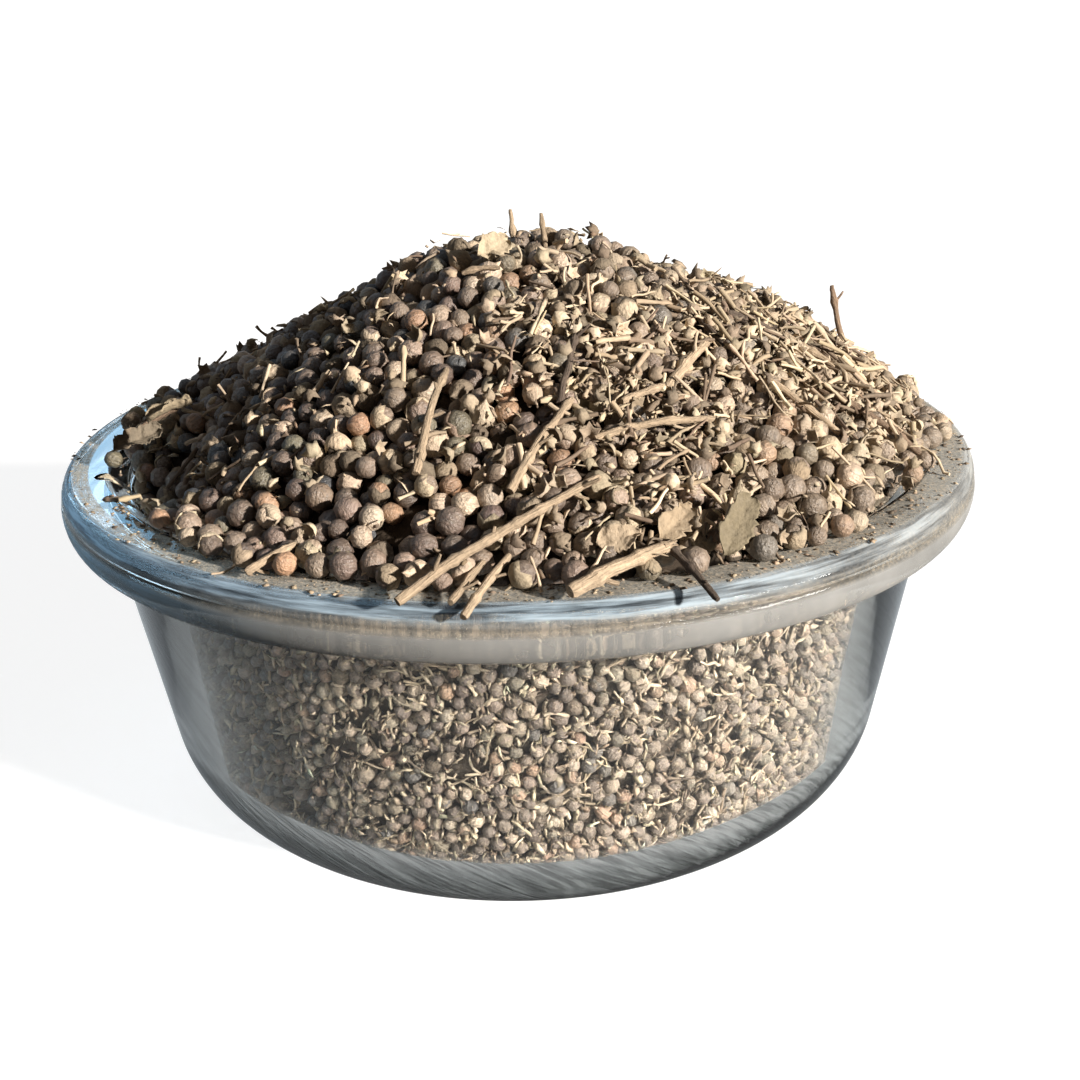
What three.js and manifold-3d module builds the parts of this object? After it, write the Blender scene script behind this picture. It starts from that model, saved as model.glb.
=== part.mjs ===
// A round glass storage bowl, heaped above its rim with dried chaste tree fruit, twigs and leaf.
// Millimetres, +Z up, origin at the centre of the bowl's underside.

import * as THREE from 'three';
import { mergeVertices } from 'three/addons/utils/BufferGeometryUtils.js';
import Module from 'manifold-3d';

const wasm = await Module();
wasm.setup();

// Glass bowl

const RIM_RADIUS = 77;
const BOWL_HEIGHT = 63;
const FLANGE_THICKNESS = 8.9;
const FLANGE_ROUNDING = 2.6;
const WALL_THICKNESS = 5;
const FLOOR_THICKNESS = 5.5;
const BODY_RADIUS_TOP = 69.8;
const BODY_RADIUS_FOOT = 59.7;
const FOOT_CORNER = 20.9;
const INNER_CORNER = 15.9;
const LEDGE_INNER_RADIUS = 69;
const LEDGE_STEP_DEPTH = 2.6;
const BOWL_SEGMENTS = 56;
const CORNER_STEPS = 3;
const FLANGE_STEPS = 4;
const FRUIT_CLEARANCE = 0.3;

// Heap. The lists run round the bowl in equal steps, from +X towards +Y.

const HEAP_TOP = 32.8;
const HEAP_ROUNDING = 11.6;
const EDGE_RADIUS = [72, 73, 73.5, 73.5, 74, 75, 73, 69, 71.5, 72.5, 72, 71.5];
const EDGE_HEIGHT = [0.4, 0.4, 0.4, 0.4, 0.4, 1, 0.8, -1, 0.8, 1.2, 1.2, 0.6];
const BULGE = [1.4, 1.2, 1.2, 1.2, 1.1, 0.96, 0.9, 1.05, 1.15, 1.2, 1.2, 1.3];
const EDGE_FALL = 2.6;
const HUMPS = [
  { what: 'hollow inside the left rim', x: -61, y: -21, rise: -10, spread: 8.5 },
  { what: 'shoulder of the left slope', x: -34, y: 6, rise: 1.2, spread: 7 },
  { what: 'twiggy crest on the right', x: 47, y: 10, rise: 1.8, spread: 9 },
  { what: 'dip right of the top', x: 23, y: 2, rise: -1.2, spread: 5 },
  { what: 'right end of the crown', x: 13, y: 4, rise: 1.2, spread: 5 },
  { what: 'left end of the crown', x: -15, y: 4, rise: 2.2, spread: 5 },
];
const ROOM_TOP = 130;
const OVERHANG_REACH = 96;
const OVERHANG_LEVEL = BOWL_HEIGHT - 8;

// Relief of the surface fruit, and the fruit that stands proud of it. Pairs are low and high.

const BUMP_SPACING = 5.2;
const BUMP_RISE = [0.7, 1.6];
const BUMP_GAP = [-1.1, -0.4];
const BUMP_SHIFT = 0.8;
const FRUIT_RADIUS = [1.75, 2.2];
const PROUD_FRUIT = 40;
const PROUD_REACH = 64;
const PROUD_LIFT = [0.5, 1.5];
const EDGE_FRUIT = 22;
const RANDOM_START = 20241;
const SLIVER = 0.06;

// Twigs: both ends as x, y and height above the rim, the radius, and how far the middle bows.

const TWIG_SIDES = 5;
const TWIG_STEPS = 3;
const TWIGS = [
  { from: [-16, -77, 1.4], to: [11, -58, 10.9], radius: 0.95, bow: 0.8 },
  { from: [-14.2, -55.5, 11.3], to: [-10.1, -37.4, 21.2], radius: 0.85, bow: 1.6 },
  { from: [-1.3, -60.3, 10], to: [7.9, -44.6, 18.3], radius: 0.85, bow: 0.8 },
  { from: [6.1, -45.6, 17.9], to: [9.1, -31.4, 24.6], radius: 0.7, bow: 0.4 },
  { from: [15, -44.1, 17.5], to: [22.4, -39.4, 18.4], radius: 0.75, bow: 0.3 },
  { from: [21.8, -40.4, 18], to: [29.6, -25.9, 21.7], radius: 1.15, bow: 0.3 },
  { from: [10.7, -51.4, 14.3], to: [28.5, -43.7, 14.4], radius: 0.8, bow: 0.9 },
  { from: [6, -76.4, 1.8], to: [19.5, -67.2, 4.2], radius: 1.4, bow: 0.3 },
  { from: [19.8, -66.6, 3.8], to: [24.8, -77.4, 0.5], radius: 0.75, bow: 0.2 },
  { from: [-7.6, -78.6, -0.3], to: [-1.6, -67.6, 3.6], radius: 0.8, bow: 0.2 },
  { from: [-9.2, -77, 1.1], to: [-5, -68, 3], radius: 0.7, bow: 0.1 },
  { from: [37.7, -30.6, 16.6], to: [48.3, -36.6, 9.4], radius: 0.75, bow: 0.5 },
  { from: [47.1, -26.2, 13.6], to: [62.3, -30.2, 3.8], radius: 0.85, bow: 0.8 },
  { from: [42.9, -13, 19.3], to: [58.1, -19.8, 9.1], radius: 0.8, bow: 0.8 },
  { from: [27.6, -15.2, 25.8], to: [33.6, -27.9, 19.4], radius: 0.75, bow: -0.5 },
  { from: [33.8, -26.5, 19.8], to: [45.9, -10.1, 18.4], radius: 0.9, bow: 0.4 },
  { from: [49.5, -8.7, 16.6], to: [60.6, -8.1, 9.7], radius: 0.8, bow: 0.4 },
  { from: [34.1, -14.8, 23.1], to: [41.8, -14.7, 19.6], radius: 1.1, bow: 0.4 },
  { from: [57.3, 2.2, 10.4], to: [55, 6.5, 22.8], radius: 0.75, bow: -0.9 },
  { from: [-64.4, -6.7, 3.7], to: [-56.9, -6, 7.7], radius: 0.75, bow: 0.4 },
  { from: [-37, -65, 1.2], to: [-30.5, -61, 3.6], radius: 0.8, bow: 0.2 },
  { from: [-8, -14.8, 30.8], to: [-2, -15.5, 31.6], radius: 0.6, bow: 0.4 },
  { from: [0.3, 3.7, 31.8], to: [-0.2, 5.4, 37.4], radius: 0.6, bow: 0.2 },
  { from: [5.5, 0, 31.8], to: [4.9, 1.7, 37.2], radius: 0.6, bow: 0.2 },
];
const SCATTERED_TWIGS = 8;
const SCATTERED_LENGTH = [8, 17];
const SCATTERED_RADIUS = [0.55, 0.85];
const SCATTERED_LIFT = 1.4;

// Leaf flakes: centre, length, width, turn about the vertical and tilt of the length, in degrees

const LEAF_THICKNESS = 0.7;
const LEAF_CELLS = [4, 2];
const LEAF_WAVE = 0.9;
const LEAVES = [
  { at: [27.6, -62.5, 6.9], length: 10, width: 6, turn: 62, tilt: 34 },
  { at: [21.4, -61.4, 8.2], length: 8, width: 4.8, turn: 40, tilt: 24 },
  { at: [12.6, -66.3, 6.8], length: 7.4, width: 5.4, turn: 8, tilt: 20 },
  { at: [-2.5, -7.1, 34], length: 6.6, width: 4.4, turn: 28, tilt: 12 },
  { at: [-58, -8, 7.6], length: 8, width: 5, turn: 24, tilt: 16 },
  { at: [-30, 40, 15.2], length: 9, width: 5, turn: 120, tilt: -24 },
  { at: [35, 44, 12.6], length: 9, width: 5, turn: 52, tilt: -24 },
];

function randomFrom(start) {
  let state = start;
  return () => {
    state = (state + 0x6d2b79f5) | 0;
    let mixed = Math.imul(state ^ (state >>> 15), 1 | state);
    mixed = (mixed + Math.imul(mixed ^ (mixed >>> 7), 61 | mixed)) ^ mixed;
    return ((mixed ^ (mixed >>> 14)) >>> 0) / 4294967296;
  };
}

const random = randomFrom(RANDOM_START);
const between = ([low, high]) => low + (high - low) * random();

function solidOf(geometry) {
  const bare = geometry.clone();
  bare.deleteAttribute('normal');
  bare.deleteAttribute('uv');
  const merged = mergeVertices(bare, 1e-4);
  return new wasm.Manifold(new wasm.Mesh({
    numProp: 3,
    vertProperties: new Float32Array(merged.attributes.position.array),
    triVerts: new Uint32Array(merged.index.array),
  }));
}

function geometryOf(solid) {
  const mesh = solid.getMesh();
  const geometry = new THREE.BufferGeometry();
  geometry.setAttribute('position', new THREE.BufferAttribute(mesh.vertProperties, 3));
  geometry.setIndex(new THREE.BufferAttribute(mesh.triVerts, 1));
  geometry.computeVertexNormals();
  return geometry;
}

// A lathe about +Z. In the profile, x is the radius and y the height.
function turned(profile) {
  return new THREE.LatheGeometry(profile, BOWL_SEGMENTS).rotateX(Math.PI / 2);
}

// The inside of the glass from the floor's centre up to the flat of the rim, moved off the
// glass by a margin.
function glassInside(margin) {
  const lean = Math.atan2(BODY_RADIUS_TOP - BODY_RADIUS_FOOT, BOWL_HEIGHT - FLANGE_THICKNESS);
  const corner = INNER_CORNER - margin;
  const floor = FLOOR_THICKNESS + margin;
  const footRadius = BODY_RADIUS_FOOT - (WALL_THICKNESS + margin) / Math.cos(lean);
  const centre = footRadius - (corner - (floor + corner) * Math.sin(lean)) / Math.cos(lean);
  const stepLevel = BOWL_HEIGHT - LEDGE_STEP_DEPTH;
  const mouth = footRadius + stepLevel * Math.tan(lean);
  const inside = new THREE.Path();
  inside.moveTo(0, floor);
  inside.lineTo(centre, floor);
  inside.absarc(centre, floor + corner, corner, -Math.PI / 2, -lean, false);
  inside.lineTo(mouth, stepLevel);
  inside.lineTo(LEDGE_INNER_RADIUS - margin, BOWL_HEIGHT + margin);
  return inside.getPoints(CORNER_STEPS);
}

// The outside of the glass from the centre of its underside round to the top of the flange.
function glassOutside() {
  const lean = Math.atan2(BODY_RADIUS_TOP - BODY_RADIUS_FOOT, BOWL_HEIGHT - FLANGE_THICKNESS);
  const centre = BODY_RADIUS_FOOT - FOOT_CORNER * (1 - Math.sin(lean)) / Math.cos(lean);
  const underside = BOWL_HEIGHT - FLANGE_THICKNESS;
  const outside = new THREE.Path();
  outside.moveTo(0, 0);
  outside.lineTo(centre, 0);
  outside.absarc(centre, FOOT_CORNER, FOOT_CORNER, -Math.PI / 2, -lean, false);
  outside.lineTo(BODY_RADIUS_TOP, underside);
  return [...outside.getPoints(CORNER_STEPS), ...flangeEdge(0)];
}

// The half oval of the flange's rim, from its underside round to its top.
function flangeEdge(margin) {
  const middle = BOWL_HEIGHT - FLANGE_THICKNESS / 2;
  const oval = new THREE.Path();
  const across = FLANGE_ROUNDING + margin;
  const up = FLANGE_THICKNESS / 2 + margin;
  oval.absellipse(RIM_RADIUS - FLANGE_ROUNDING, middle, across, up, -Math.PI / 2, Math.PI / 2);
  return oval.getPoints(FLANGE_STEPS);
}

function bowlGeometry() {
  return turned([...glassOutside(), ...glassInside(0).reverse()]);
}

// The space above the glass and inside it, out to the flat of the rim.
function insideRoom() {
  const inside = glassInside(FRUIT_CLEARANCE);
  const reach = RIM_RADIUS - FLANGE_ROUNDING;
  const level = BOWL_HEIGHT + FRUIT_CLEARANCE;
  const above = [[reach, level], [reach, ROOM_TOP], [0, ROOM_TOP]];
  return turned([...inside, ...above.map(([x, y]) => new THREE.Vector2(x, y))]);
}

// The same space with that outside the rim, where a twig's end hangs over.
function overhangRoom() {
  const overRim = flangeEdge(FRUIT_CLEARANCE).reverse().filter((point) => point.y > OVERHANG_LEVEL);
  const outside = [[OVERHANG_REACH, OVERHANG_LEVEL], [OVERHANG_REACH, ROOM_TOP], [0, ROOM_TOP]];
  const inside = glassInside(FRUIT_CLEARANCE);
  return turned([...inside, ...overRim, ...outside.map(([x, y]) => new THREE.Vector2(x, y))]);
}

// A value of a list that runs round the bowl, eased between its steps.
function around(list, angle) {
  const place = (((angle / (2 * Math.PI)) % 1) + 1) % 1 * list.length;
  const step = Math.floor(place) % list.length;
  const share = (1 - Math.cos(Math.PI * (place - Math.floor(place)))) / 2;
  return list[step] * (1 - share) + list[(step + 1) % list.length] * share;
}

// Height of the heap's mean surface above the rim.
function heapHeight(x, y) {
  const angle = Math.atan2(y, x);
  const radius = Math.hypot(x, y);
  const edge = around(EDGE_RADIUS, angle);
  const low = around(EDGE_HEIGHT, angle);
  const rounded = (reach) => Math.hypot(reach, HEAP_ROUNDING) - HEAP_ROUNDING;
  const share = rounded(Math.min(radius, edge)) / rounded(edge);
  let height = low + (HEAP_TOP - low) * (1 - share ** around(BULGE, angle));
  height -= EDGE_FALL * Math.max(radius - edge, 0);
  for (const hump of HUMPS) {
    const away = ((x - hump.x) ** 2 + (y - hump.y) ** 2) / (2 * hump.spread ** 2);
    height += hump.rise * Math.exp(-away);
  }
  return height;
}

// The core: a block whose top is a triangular grid, raised at every third point to a bump.
function coreGeometry() {
  const pitch = BUMP_SPACING / Math.sqrt(3);
  const reach = RIM_RADIUS + 2 * pitch;
  const rows = Math.ceil(2 * reach / (pitch * Math.sqrt(3) / 2));
  const columns = Math.ceil(2 * reach / pitch + rows / 2);
  const block = new THREE.BoxGeometry(columns, rows, 1, columns, rows, 1);
  block.deleteAttribute('normal');
  block.deleteAttribute('uv');
  const core = mergeVertices(block, 1e-4);
  const places = core.attributes.position;
  for (let i = 0; i < places.count; i += 1) {
    const column = Math.round(places.getX(i) + columns / 2);
    const row = Math.round(places.getY(i) + rows / 2);
    const sheared = column - columns / 2 - (row - rows / 2) / 2;
    const isTop = places.getZ(i) > 0;
    const isBump = (column + row) % 3 === 0;
    const shift = isTop ? BUMP_SHIFT : 0;
    const x = sheared * pitch + between([-shift, shift]);
    const y = (row - rows / 2) * pitch * Math.sqrt(3) / 2 + between([-shift, shift]);
    const relief = isBump ? between(BUMP_RISE) : between(BUMP_GAP);
    places.setXYZ(i, x, y, isTop ? BOWL_HEIGHT + heapHeight(x, y) + relief : 0);
  }
  return core;
}

// A twenty-sided fruit at true size, turned at random.
function fruitGeometry(x, y, z) {
  const fruit = new THREE.IcosahedronGeometry(between(FRUIT_RADIUS), 0);
  fruit.rotateX(between([0, Math.PI]));
  fruit.rotateZ(between([0, Math.PI]));
  return fruit.translate(x, y, z);
}

// Proud fruit, spread evenly over the heap by the golden angle.
function proudFruit() {
  const golden = Math.PI * (3 - Math.sqrt(5));
  const fruits = [];
  for (let i = 0; i < PROUD_FRUIT; i += 1) {
    const radius = PROUD_REACH * Math.sqrt((i + 0.5) / PROUD_FRUIT);
    const angle = i * golden + between([-0.12, 0.12]);
    const x = radius * Math.cos(angle);
    const y = radius * Math.sin(angle);
    const z = BOWL_HEIGHT + heapHeight(x, y) + between(PROUD_LIFT);
    fruits.push(fruitGeometry(x, y, z));
  }
  return fruits;
}

// Fruit that rests on the flat of the rim, along the foot of the heap.
function edgeFruit() {
  const fruits = [];
  for (let i = 0; i < EDGE_FRUIT; i += 1) {
    const angle = (i + between([0.2, 0.8])) / EDGE_FRUIT * 2 * Math.PI;
    const edge = around(EDGE_RADIUS, angle);
    const x = edge * Math.cos(angle);
    const y = edge * Math.sin(angle);
    if (heapHeight(x, y) > 0) {
      fruits.push(fruitGeometry(x, y, BOWL_HEIGHT + between(FRUIT_RADIUS)));
    }
  }
  return fruits;
}

// A twig is a five-sided rod along a slightly bowed line.
function twigGeometry({ from, to, radius, bow }) {
  const start = new THREE.Vector3(...from);
  const end = new THREE.Vector3(...to);
  const aside = new THREE.Vector3(0, 0, 1).cross(end.clone().sub(start)).normalize();
  const middle = start.clone().lerp(end, 0.5).addScaledVector(aside, 2 * bow);
  const path = new THREE.QuadraticBezierCurve3(start, middle, end);
  const section = new THREE.Shape();
  for (let i = 0; i < TWIG_SIDES; i += 1) {
    const angle = i / TWIG_SIDES * 2 * Math.PI;
    const x = radius * Math.cos(angle);
    const y = radius * Math.sin(angle);
    if (i === 0) section.moveTo(x, y);
    else section.lineTo(x, y);
  }
  const options = { extrudePath: path, steps: TWIG_STEPS };
  return new THREE.ExtrudeGeometry(section, options).translate(0, 0, BOWL_HEIGHT);
}

// Short twigs, scattered over the heap and lying along its slope.
function scatteredTwigs() {
  const golden = Math.PI * (3 - Math.sqrt(5));
  const twigs = [];
  for (let i = 0; i < SCATTERED_TWIGS; i += 1) {
    const radius = PROUD_REACH * Math.sqrt((i + 0.7) / SCATTERED_TWIGS);
    const angle = (i + 0.5) * golden + between([-0.3, 0.3]);
    const turn = between([0, Math.PI]);
    const half = between(SCATTERED_LENGTH) / 2;
    const ends = [-half, half].map((along) => {
      const x = radius * Math.cos(angle) + along * Math.cos(turn);
      const y = radius * Math.sin(angle) + along * Math.sin(turn);
      return [x, y, Math.max(heapHeight(x, y), 0) + SCATTERED_LIFT];
    });
    const bow = between([-0.8, 0.8]);
    twigs.push({ from: ends[0], to: ends[1], radius: between(SCATTERED_RADIUS), bow });
  }
  return twigs;
}

// A leaf flake is a thin wavy plate, pointed at both ends, with both faces split alike.
function leafGeometry({ at, length, width, turn, tilt }) {
  const [along, across] = LEAF_CELLS;
  const sheet = new THREE.PlaneGeometry(1, 1, along, across);
  const flat = sheet.attributes.position;
  const count = flat.count;
  const places = [];
  for (const side of [0.5, -0.5]) {
    for (let i = 0; i < count; i += 1) {
      const u = flat.getX(i);
      const taper = 0.25 + 0.75 * Math.cos(u * Math.PI);
      const v = flat.getY(i) * taper;
      const wave = LEAF_WAVE * (Math.sin(u * 7) * 0.5 + 2 * v * v);
      places.push(u * length, v * width, wave + side * LEAF_THICKNESS);
    }
  }
  const faces = [...sheet.index.array];
  const under = [];
  for (let i = 0; i < faces.length; i += 3) {
    under.push(faces[i] + count, faces[i + 2] + count, faces[i + 1] + count);
  }
  const edge = [];
  const corner = (column, row) => row * (along + 1) + column;
  for (let i = 0; i < along; i += 1) edge.push(corner(i, 0));
  for (let i = 0; i < across; i += 1) edge.push(corner(along, i));
  for (let i = along; i > 0; i -= 1) edge.push(corner(i, across));
  for (let i = across; i > 0; i -= 1) edge.push(corner(0, i));
  const rim = edge.flatMap((a, i) => {
    const b = edge[(i + 1) % edge.length];
    return [a, b, b + count, a, b + count, a + count];
  });
  const leaf = new THREE.BufferGeometry();
  leaf.setAttribute('position', new THREE.Float32BufferAttribute(places, 3));
  leaf.setIndex([...faces, ...under, ...rim]);
  leaf.rotateY(-THREE.MathUtils.degToRad(tilt));
  leaf.rotateZ(THREE.MathUtils.degToRad(turn));
  return leaf.translate(at[0], at[1], BOWL_HEIGHT + at[2]);
}

// The heap: the core with its fruit, twigs and leaf flakes joined, clear of the glass.
function heapGeometry() {
  const core = solidOf(coreGeometry()).intersect(solidOf(insideRoom()));
  const pieces = [
    ...proudFruit(),
    ...edgeFruit(),
    ...TWIGS.map(twigGeometry),
    ...scatteredTwigs().map(twigGeometry),
    ...LEAVES.map(leafGeometry),
  ];
  const joined = pieces.reduce((whole, piece) => whole.add(solidOf(piece)), core);
  const clear = joined.intersect(solidOf(overhangRoom())).asOriginal().simplify(SLIVER);
  const largestFirst = clear.decompose().sort((a, b) => b.volume() - a.volume());
  return geometryOf(largestFirst[0]);
}

const glass = new THREE.MeshStandardMaterial({
  color: 0xc4d0d6, roughness: 0.05, metalness: 0, transparent: true, opacity: 0.35,
});
const driedFruit = new THREE.MeshStandardMaterial({ color: 0x6f5f50, roughness: 0.9, metalness: 0 });

const bowl = new THREE.Mesh(bowlGeometry(), glass);
bowl.name = 'glass_bowl';

const heap = new THREE.Mesh(heapGeometry(), driedFruit);
heap.name = 'fruit_heap';

const filledBowl = new THREE.Group();
filledBowl.add(bowl, heap);

export default filledBowl;
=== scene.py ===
"""A clear glass bowl heaped with dried chaste tree fruit, with its twigs, stalks, leaf flakes and dust.

Sizes in the classes are millimetres in the part's own frame; meshes are made in metres.
"""
import logging
import math
from dataclasses import astuple, dataclass, field
from enum import Enum
from itertools import product
from typing import Dict, List, Optional, Sequence, Tuple

import bpy
import numpy as np
from mathutils import Euler, Matrix, Vector


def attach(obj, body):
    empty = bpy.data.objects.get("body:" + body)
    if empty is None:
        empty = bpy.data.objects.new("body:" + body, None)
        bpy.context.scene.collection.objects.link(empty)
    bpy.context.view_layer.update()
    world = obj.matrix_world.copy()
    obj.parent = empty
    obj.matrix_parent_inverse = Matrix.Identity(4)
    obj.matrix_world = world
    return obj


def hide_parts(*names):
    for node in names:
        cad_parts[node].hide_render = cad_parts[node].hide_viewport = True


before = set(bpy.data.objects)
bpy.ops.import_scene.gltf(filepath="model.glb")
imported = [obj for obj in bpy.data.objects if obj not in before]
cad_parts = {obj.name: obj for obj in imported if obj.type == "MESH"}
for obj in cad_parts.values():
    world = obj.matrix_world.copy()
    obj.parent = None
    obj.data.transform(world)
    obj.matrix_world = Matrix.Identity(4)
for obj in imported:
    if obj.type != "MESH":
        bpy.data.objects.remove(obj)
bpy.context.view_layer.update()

LOG = logging.getLogger("bowl_of_chaste_tree_seeds")
MM = 0.001
BODY = "root"

Place = Tuple[float, float, float]
Colour = Tuple[float, float, float]
Outline = List[Tuple[float, float]]
Faces = List[Tuple[int, ...]]
Array = np.ndarray
Random = np.random.Generator
Thing = bpy.types.Object
Mesh = bpy.types.Mesh
Tree = bpy.types.NodeTree
Node = bpy.types.Node
Socket = bpy.types.NodeSocket
Material = bpy.types.Material


# ---- Meshes ----


def mesh_from(name: str, points: Array, faces: Sequence[Sequence[int]], edges: Sequence = ()) -> Mesh:
    """Makes a mesh in metres.

    Args:
        name: The mesh's name.
        points: Corners, in the units of the mesh.
        faces: Corner numbers of each face.
        edges: Loose edges, where there are no faces.

    Returns:
        The new mesh.
    """
    mesh = bpy.data.meshes.new(name)
    mesh.from_pydata([tuple(p) for p in points], [tuple(e) for e in edges], [tuple(f) for f in faces])
    mesh.update()
    return mesh


def placed(name: str, mesh: Mesh) -> Thing:
    """Puts a mesh in the scene as an object at the origin."""
    thing = bpy.data.objects.new(name, mesh)
    bpy.context.scene.collection.objects.link(thing)
    return thing


def set_vectors(mesh: Mesh, name: str, values: Array) -> None:
    """Stores one vector for each corner of a mesh under a name."""
    layer = mesh.attributes.new(name, "FLOAT_VECTOR", "POINT")
    layer.data.foreach_set("vector", np.ascontiguousarray(values, dtype=np.float32).ravel())


def set_values(mesh: Mesh, name: str, values: Array) -> None:
    """Stores one number for each corner of a mesh under a name."""
    layer = mesh.attributes.new(name, "FLOAT", "POINT")
    layer.data.foreach_set("value", np.ascontiguousarray(values, dtype=np.float32).ravel())


def smooth(mesh: Mesh) -> Mesh:
    """Shades every face of a mesh smoothly."""
    mesh.polygons.foreach_set("use_smooth", [True] * len(mesh.polygons))
    return mesh


def ring_faces(count: int, rows: int, inward: bool = False, closed: bool = True) -> Faces:
    """Faces of a body of rings that starts at one pole point and ends at another.

    Args:
        count: Number of corners in a ring.
        rows: Number of rings.
        inward: Turns the faces over.
        closed: Adds the faces round the last pole.

    Returns:
        The corner numbers of each face.
    """
    faces: Faces = []
    last = 1 + rows * count
    for step in range(count):
        after = (step + 1) % count
        faces.append((0, 1 + after, 1 + step))
        for low in range(1, last - count, count):
            high = low + count
            faces.append((low + step, low + after, high + after, high + step))
        if closed:
            faces.append((last - count + step, last - count + after, last))
    return [face[::-1] for face in faces] if inward else faces


def full_turn(steps: int) -> Array:
    """Angles of equal steps once round."""
    return np.arange(steps) * 2 * math.pi / steps


def round_axis(angle: Array, radius: object, level: object) -> Array:
    """Places round the upright axis, one a row."""
    height = np.broadcast_to(level, angle.shape)
    return np.stack([radius * np.cos(angle), radius * np.sin(angle), height], axis=1)


def reach_of(places: Array) -> Array:
    """Distance of each place from the upright axis."""
    return np.hypot(places[:, 0], places[:, 1])


def lathe(name: str, profile: Array, turns: int) -> Mesh:
    """Turns a profile round the upright axis into a closed body.

    Args:
        name: The mesh's name.
        profile: Radius and height of each point, in millimetres, from the axis out and back to the axis.
        turns: Number of steps round.

    Returns:
        The mesh, in metres, with its faces outwards when the profile runs up on the outside.
    """
    rings = [round_axis(full_turn(turns), radius, level) for radius, level in profile[1:-1]]
    points = np.concatenate([[(0, 0, profile[0][1])], *rings, [(0, 0, profile[-1][1])]]) * MM
    return mesh_from(name, points, ring_faces(turns, len(rings)))


# ---- Nodes ----


@dataclass
class Wiring:
    """Adds nodes to one tree and joins them."""

    tree: Tree

    def add(self, kind: str, settings: Optional[Dict] = None, **inputs: object) -> Node:
        """Adds one node.

        Args:
            kind: The node's type name.
            settings: Values of the node's own properties.
            **inputs: Values or source sockets by input name, with _ for a space, or by in0, in1 and so on.

        Returns:
            The new node.
        """
        node = self.tree.nodes.new(kind)
        for name, value in (settings or {}).items():
            setattr(node, name, value)
        for name, value in inputs.items():
            key = int(name[2:]) if name[:2] == "in" and name[2:].isdigit() else name.replace("_", " ")
            socket = node.inputs[key]
            if isinstance(value, Socket):
                self.tree.links.new(value, socket)
            else:
                socket.default_value = value
        return node

    def math(self, operation: str, first: object, second: object = 0.0, clamp: bool = False) -> Socket:
        """Adds a Math node and returns its result."""
        return self.add(
            "ShaderNodeMath", {"operation": operation, "use_clamp": clamp}, in0=first, in1=second
        ).outputs[0]

    def chain(self, operation: str, values: Sequence[object], clamp: bool) -> Socket:
        """Joins two or more values by one Math operation, clamped at the end where asked."""
        total = values[0]
        for value in values[1:-1]:
            total = self.math(operation, total, value)
        return self.math(operation, total, values[-1], clamp)

    def times(self, *values: object, clamp: bool = False) -> Socket:
        """Multiplies values."""
        return self.chain("MULTIPLY", values, clamp)

    def plus(self, *values: object, clamp: bool = False) -> Socket:
        """Adds values."""
        return self.chain("ADD", values, clamp)

    def highest(self, *values: object, clamp: bool = False) -> Socket:
        """The largest of some values."""
        return self.chain("MAXIMUM", values, clamp)

    def minus(self, first: object, second: object, clamp: bool = False) -> Socket:
        """Takes the second value from the first."""
        return self.math("SUBTRACT", first, second, clamp)

    def place(self) -> Socket:
        """The place on the object, in metres."""
        return self.add("ShaderNodeTexCoord").outputs["Object"]

    def axes(self, value: object) -> Sequence[Socket]:
        """The three parts of a vector."""
        return self.add("ShaderNodeSeparateXYZ", None, in0=value).outputs

    def vector(self, x: object, y: object, z: object) -> Socket:
        """A vector from its three parts."""
        return self.add("ShaderNodeCombineXYZ", None, in0=x, in1=y, in2=z).outputs[0]

    def moved(self, first: object, second: object, operation: str = "ADD") -> Socket:
        """Adds or otherwise joins two vectors."""
        return self.add("ShaderNodeVectorMath", {"operation": operation}, in0=first, in1=second).outputs[0]

    def scaled(self, value: object, amount: object) -> Socket:
        """A vector or colour times a number."""
        return self.add("ShaderNodeVectorMath", {"operation": "SCALE"}, in0=value, Scale=amount).outputs[0]

    def length(self, value: object) -> Socket:
        """The length of a vector."""
        return self.add("ShaderNodeVectorMath", {"operation": "LENGTH"}, in0=value).outputs["Value"]

    def attribute(self, name: str, kind: str = "Fac") -> Socket:
        """A mesh's attribute in a material."""
        return self.add("ShaderNodeAttribute", {"attribute_name": name}).outputs[kind]

    def stored(self, name: str, kind: str) -> Socket:
        """A mesh's attribute in Geometry Nodes."""
        return self.add("GeometryNodeInputNamedAttribute", {"data_type": kind}, Name=name).outputs[0]

    def kept(self, geometry: object, name: str, kind: str, value: object) -> Socket:
        """Stores an attribute on the points of a geometry."""
        settings = {"data_type": kind, "domain": "POINT"}
        node = self.add("GeometryNodeStoreNamedAttribute", settings, in0=geometry, Name=name, Value=value)
        return node.outputs[0]

    def mix(self, share: object, first: object, second: object) -> Socket:
        """Mixes two colours by a share and returns the result."""
        node = self.add("ShaderNodeMix", {"data_type": "RGBA", "clamp_factor": True})
        for index, value in ((0, share), (6, first), (7, second)):
            if isinstance(value, Socket):
                self.tree.links.new(value, node.inputs[index])
            else:
                node.inputs[index].default_value = value if index == 0 else (*value, 1.0)
        return node.outputs[2]

    def spread(
        self, value: object, low: float, high: float, to_low: float = 0.0, to_high: float = 1.0
    ) -> Socket:
        """Maps a value from one range to another, held at the ends."""
        return self.add(
            "ShaderNodeMapRange", {"clamp": True}, in0=value, in1=low, in2=high, in3=to_low, in4=to_high
        ).outputs[0]

    def fall(self, value: object, low: float, high: float) -> Socket:
        """1 below a range, 0 above it and eased in it."""
        return self.spread(value, low, high, 1.0, 0.0)

    def noise(self, place: object, scale: object, detail: float = 3.0, roughness: float = 0.5) -> Socket:
        """Adds a noise pattern and returns its value."""
        return self.add(
            "ShaderNodeTexNoise", None, Vector=place, Scale=scale, Detail=detail, Roughness=roughness
        ).outputs[0]


def identifier(tree: Tree, label: str) -> str:
    """The identifier of a tree's input by its name."""
    return next(
        item.identifier
        for item in tree.interface.items_tree
        if item.item_type == "SOCKET" and item.in_out == "INPUT" and item.name == label
    )


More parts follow.
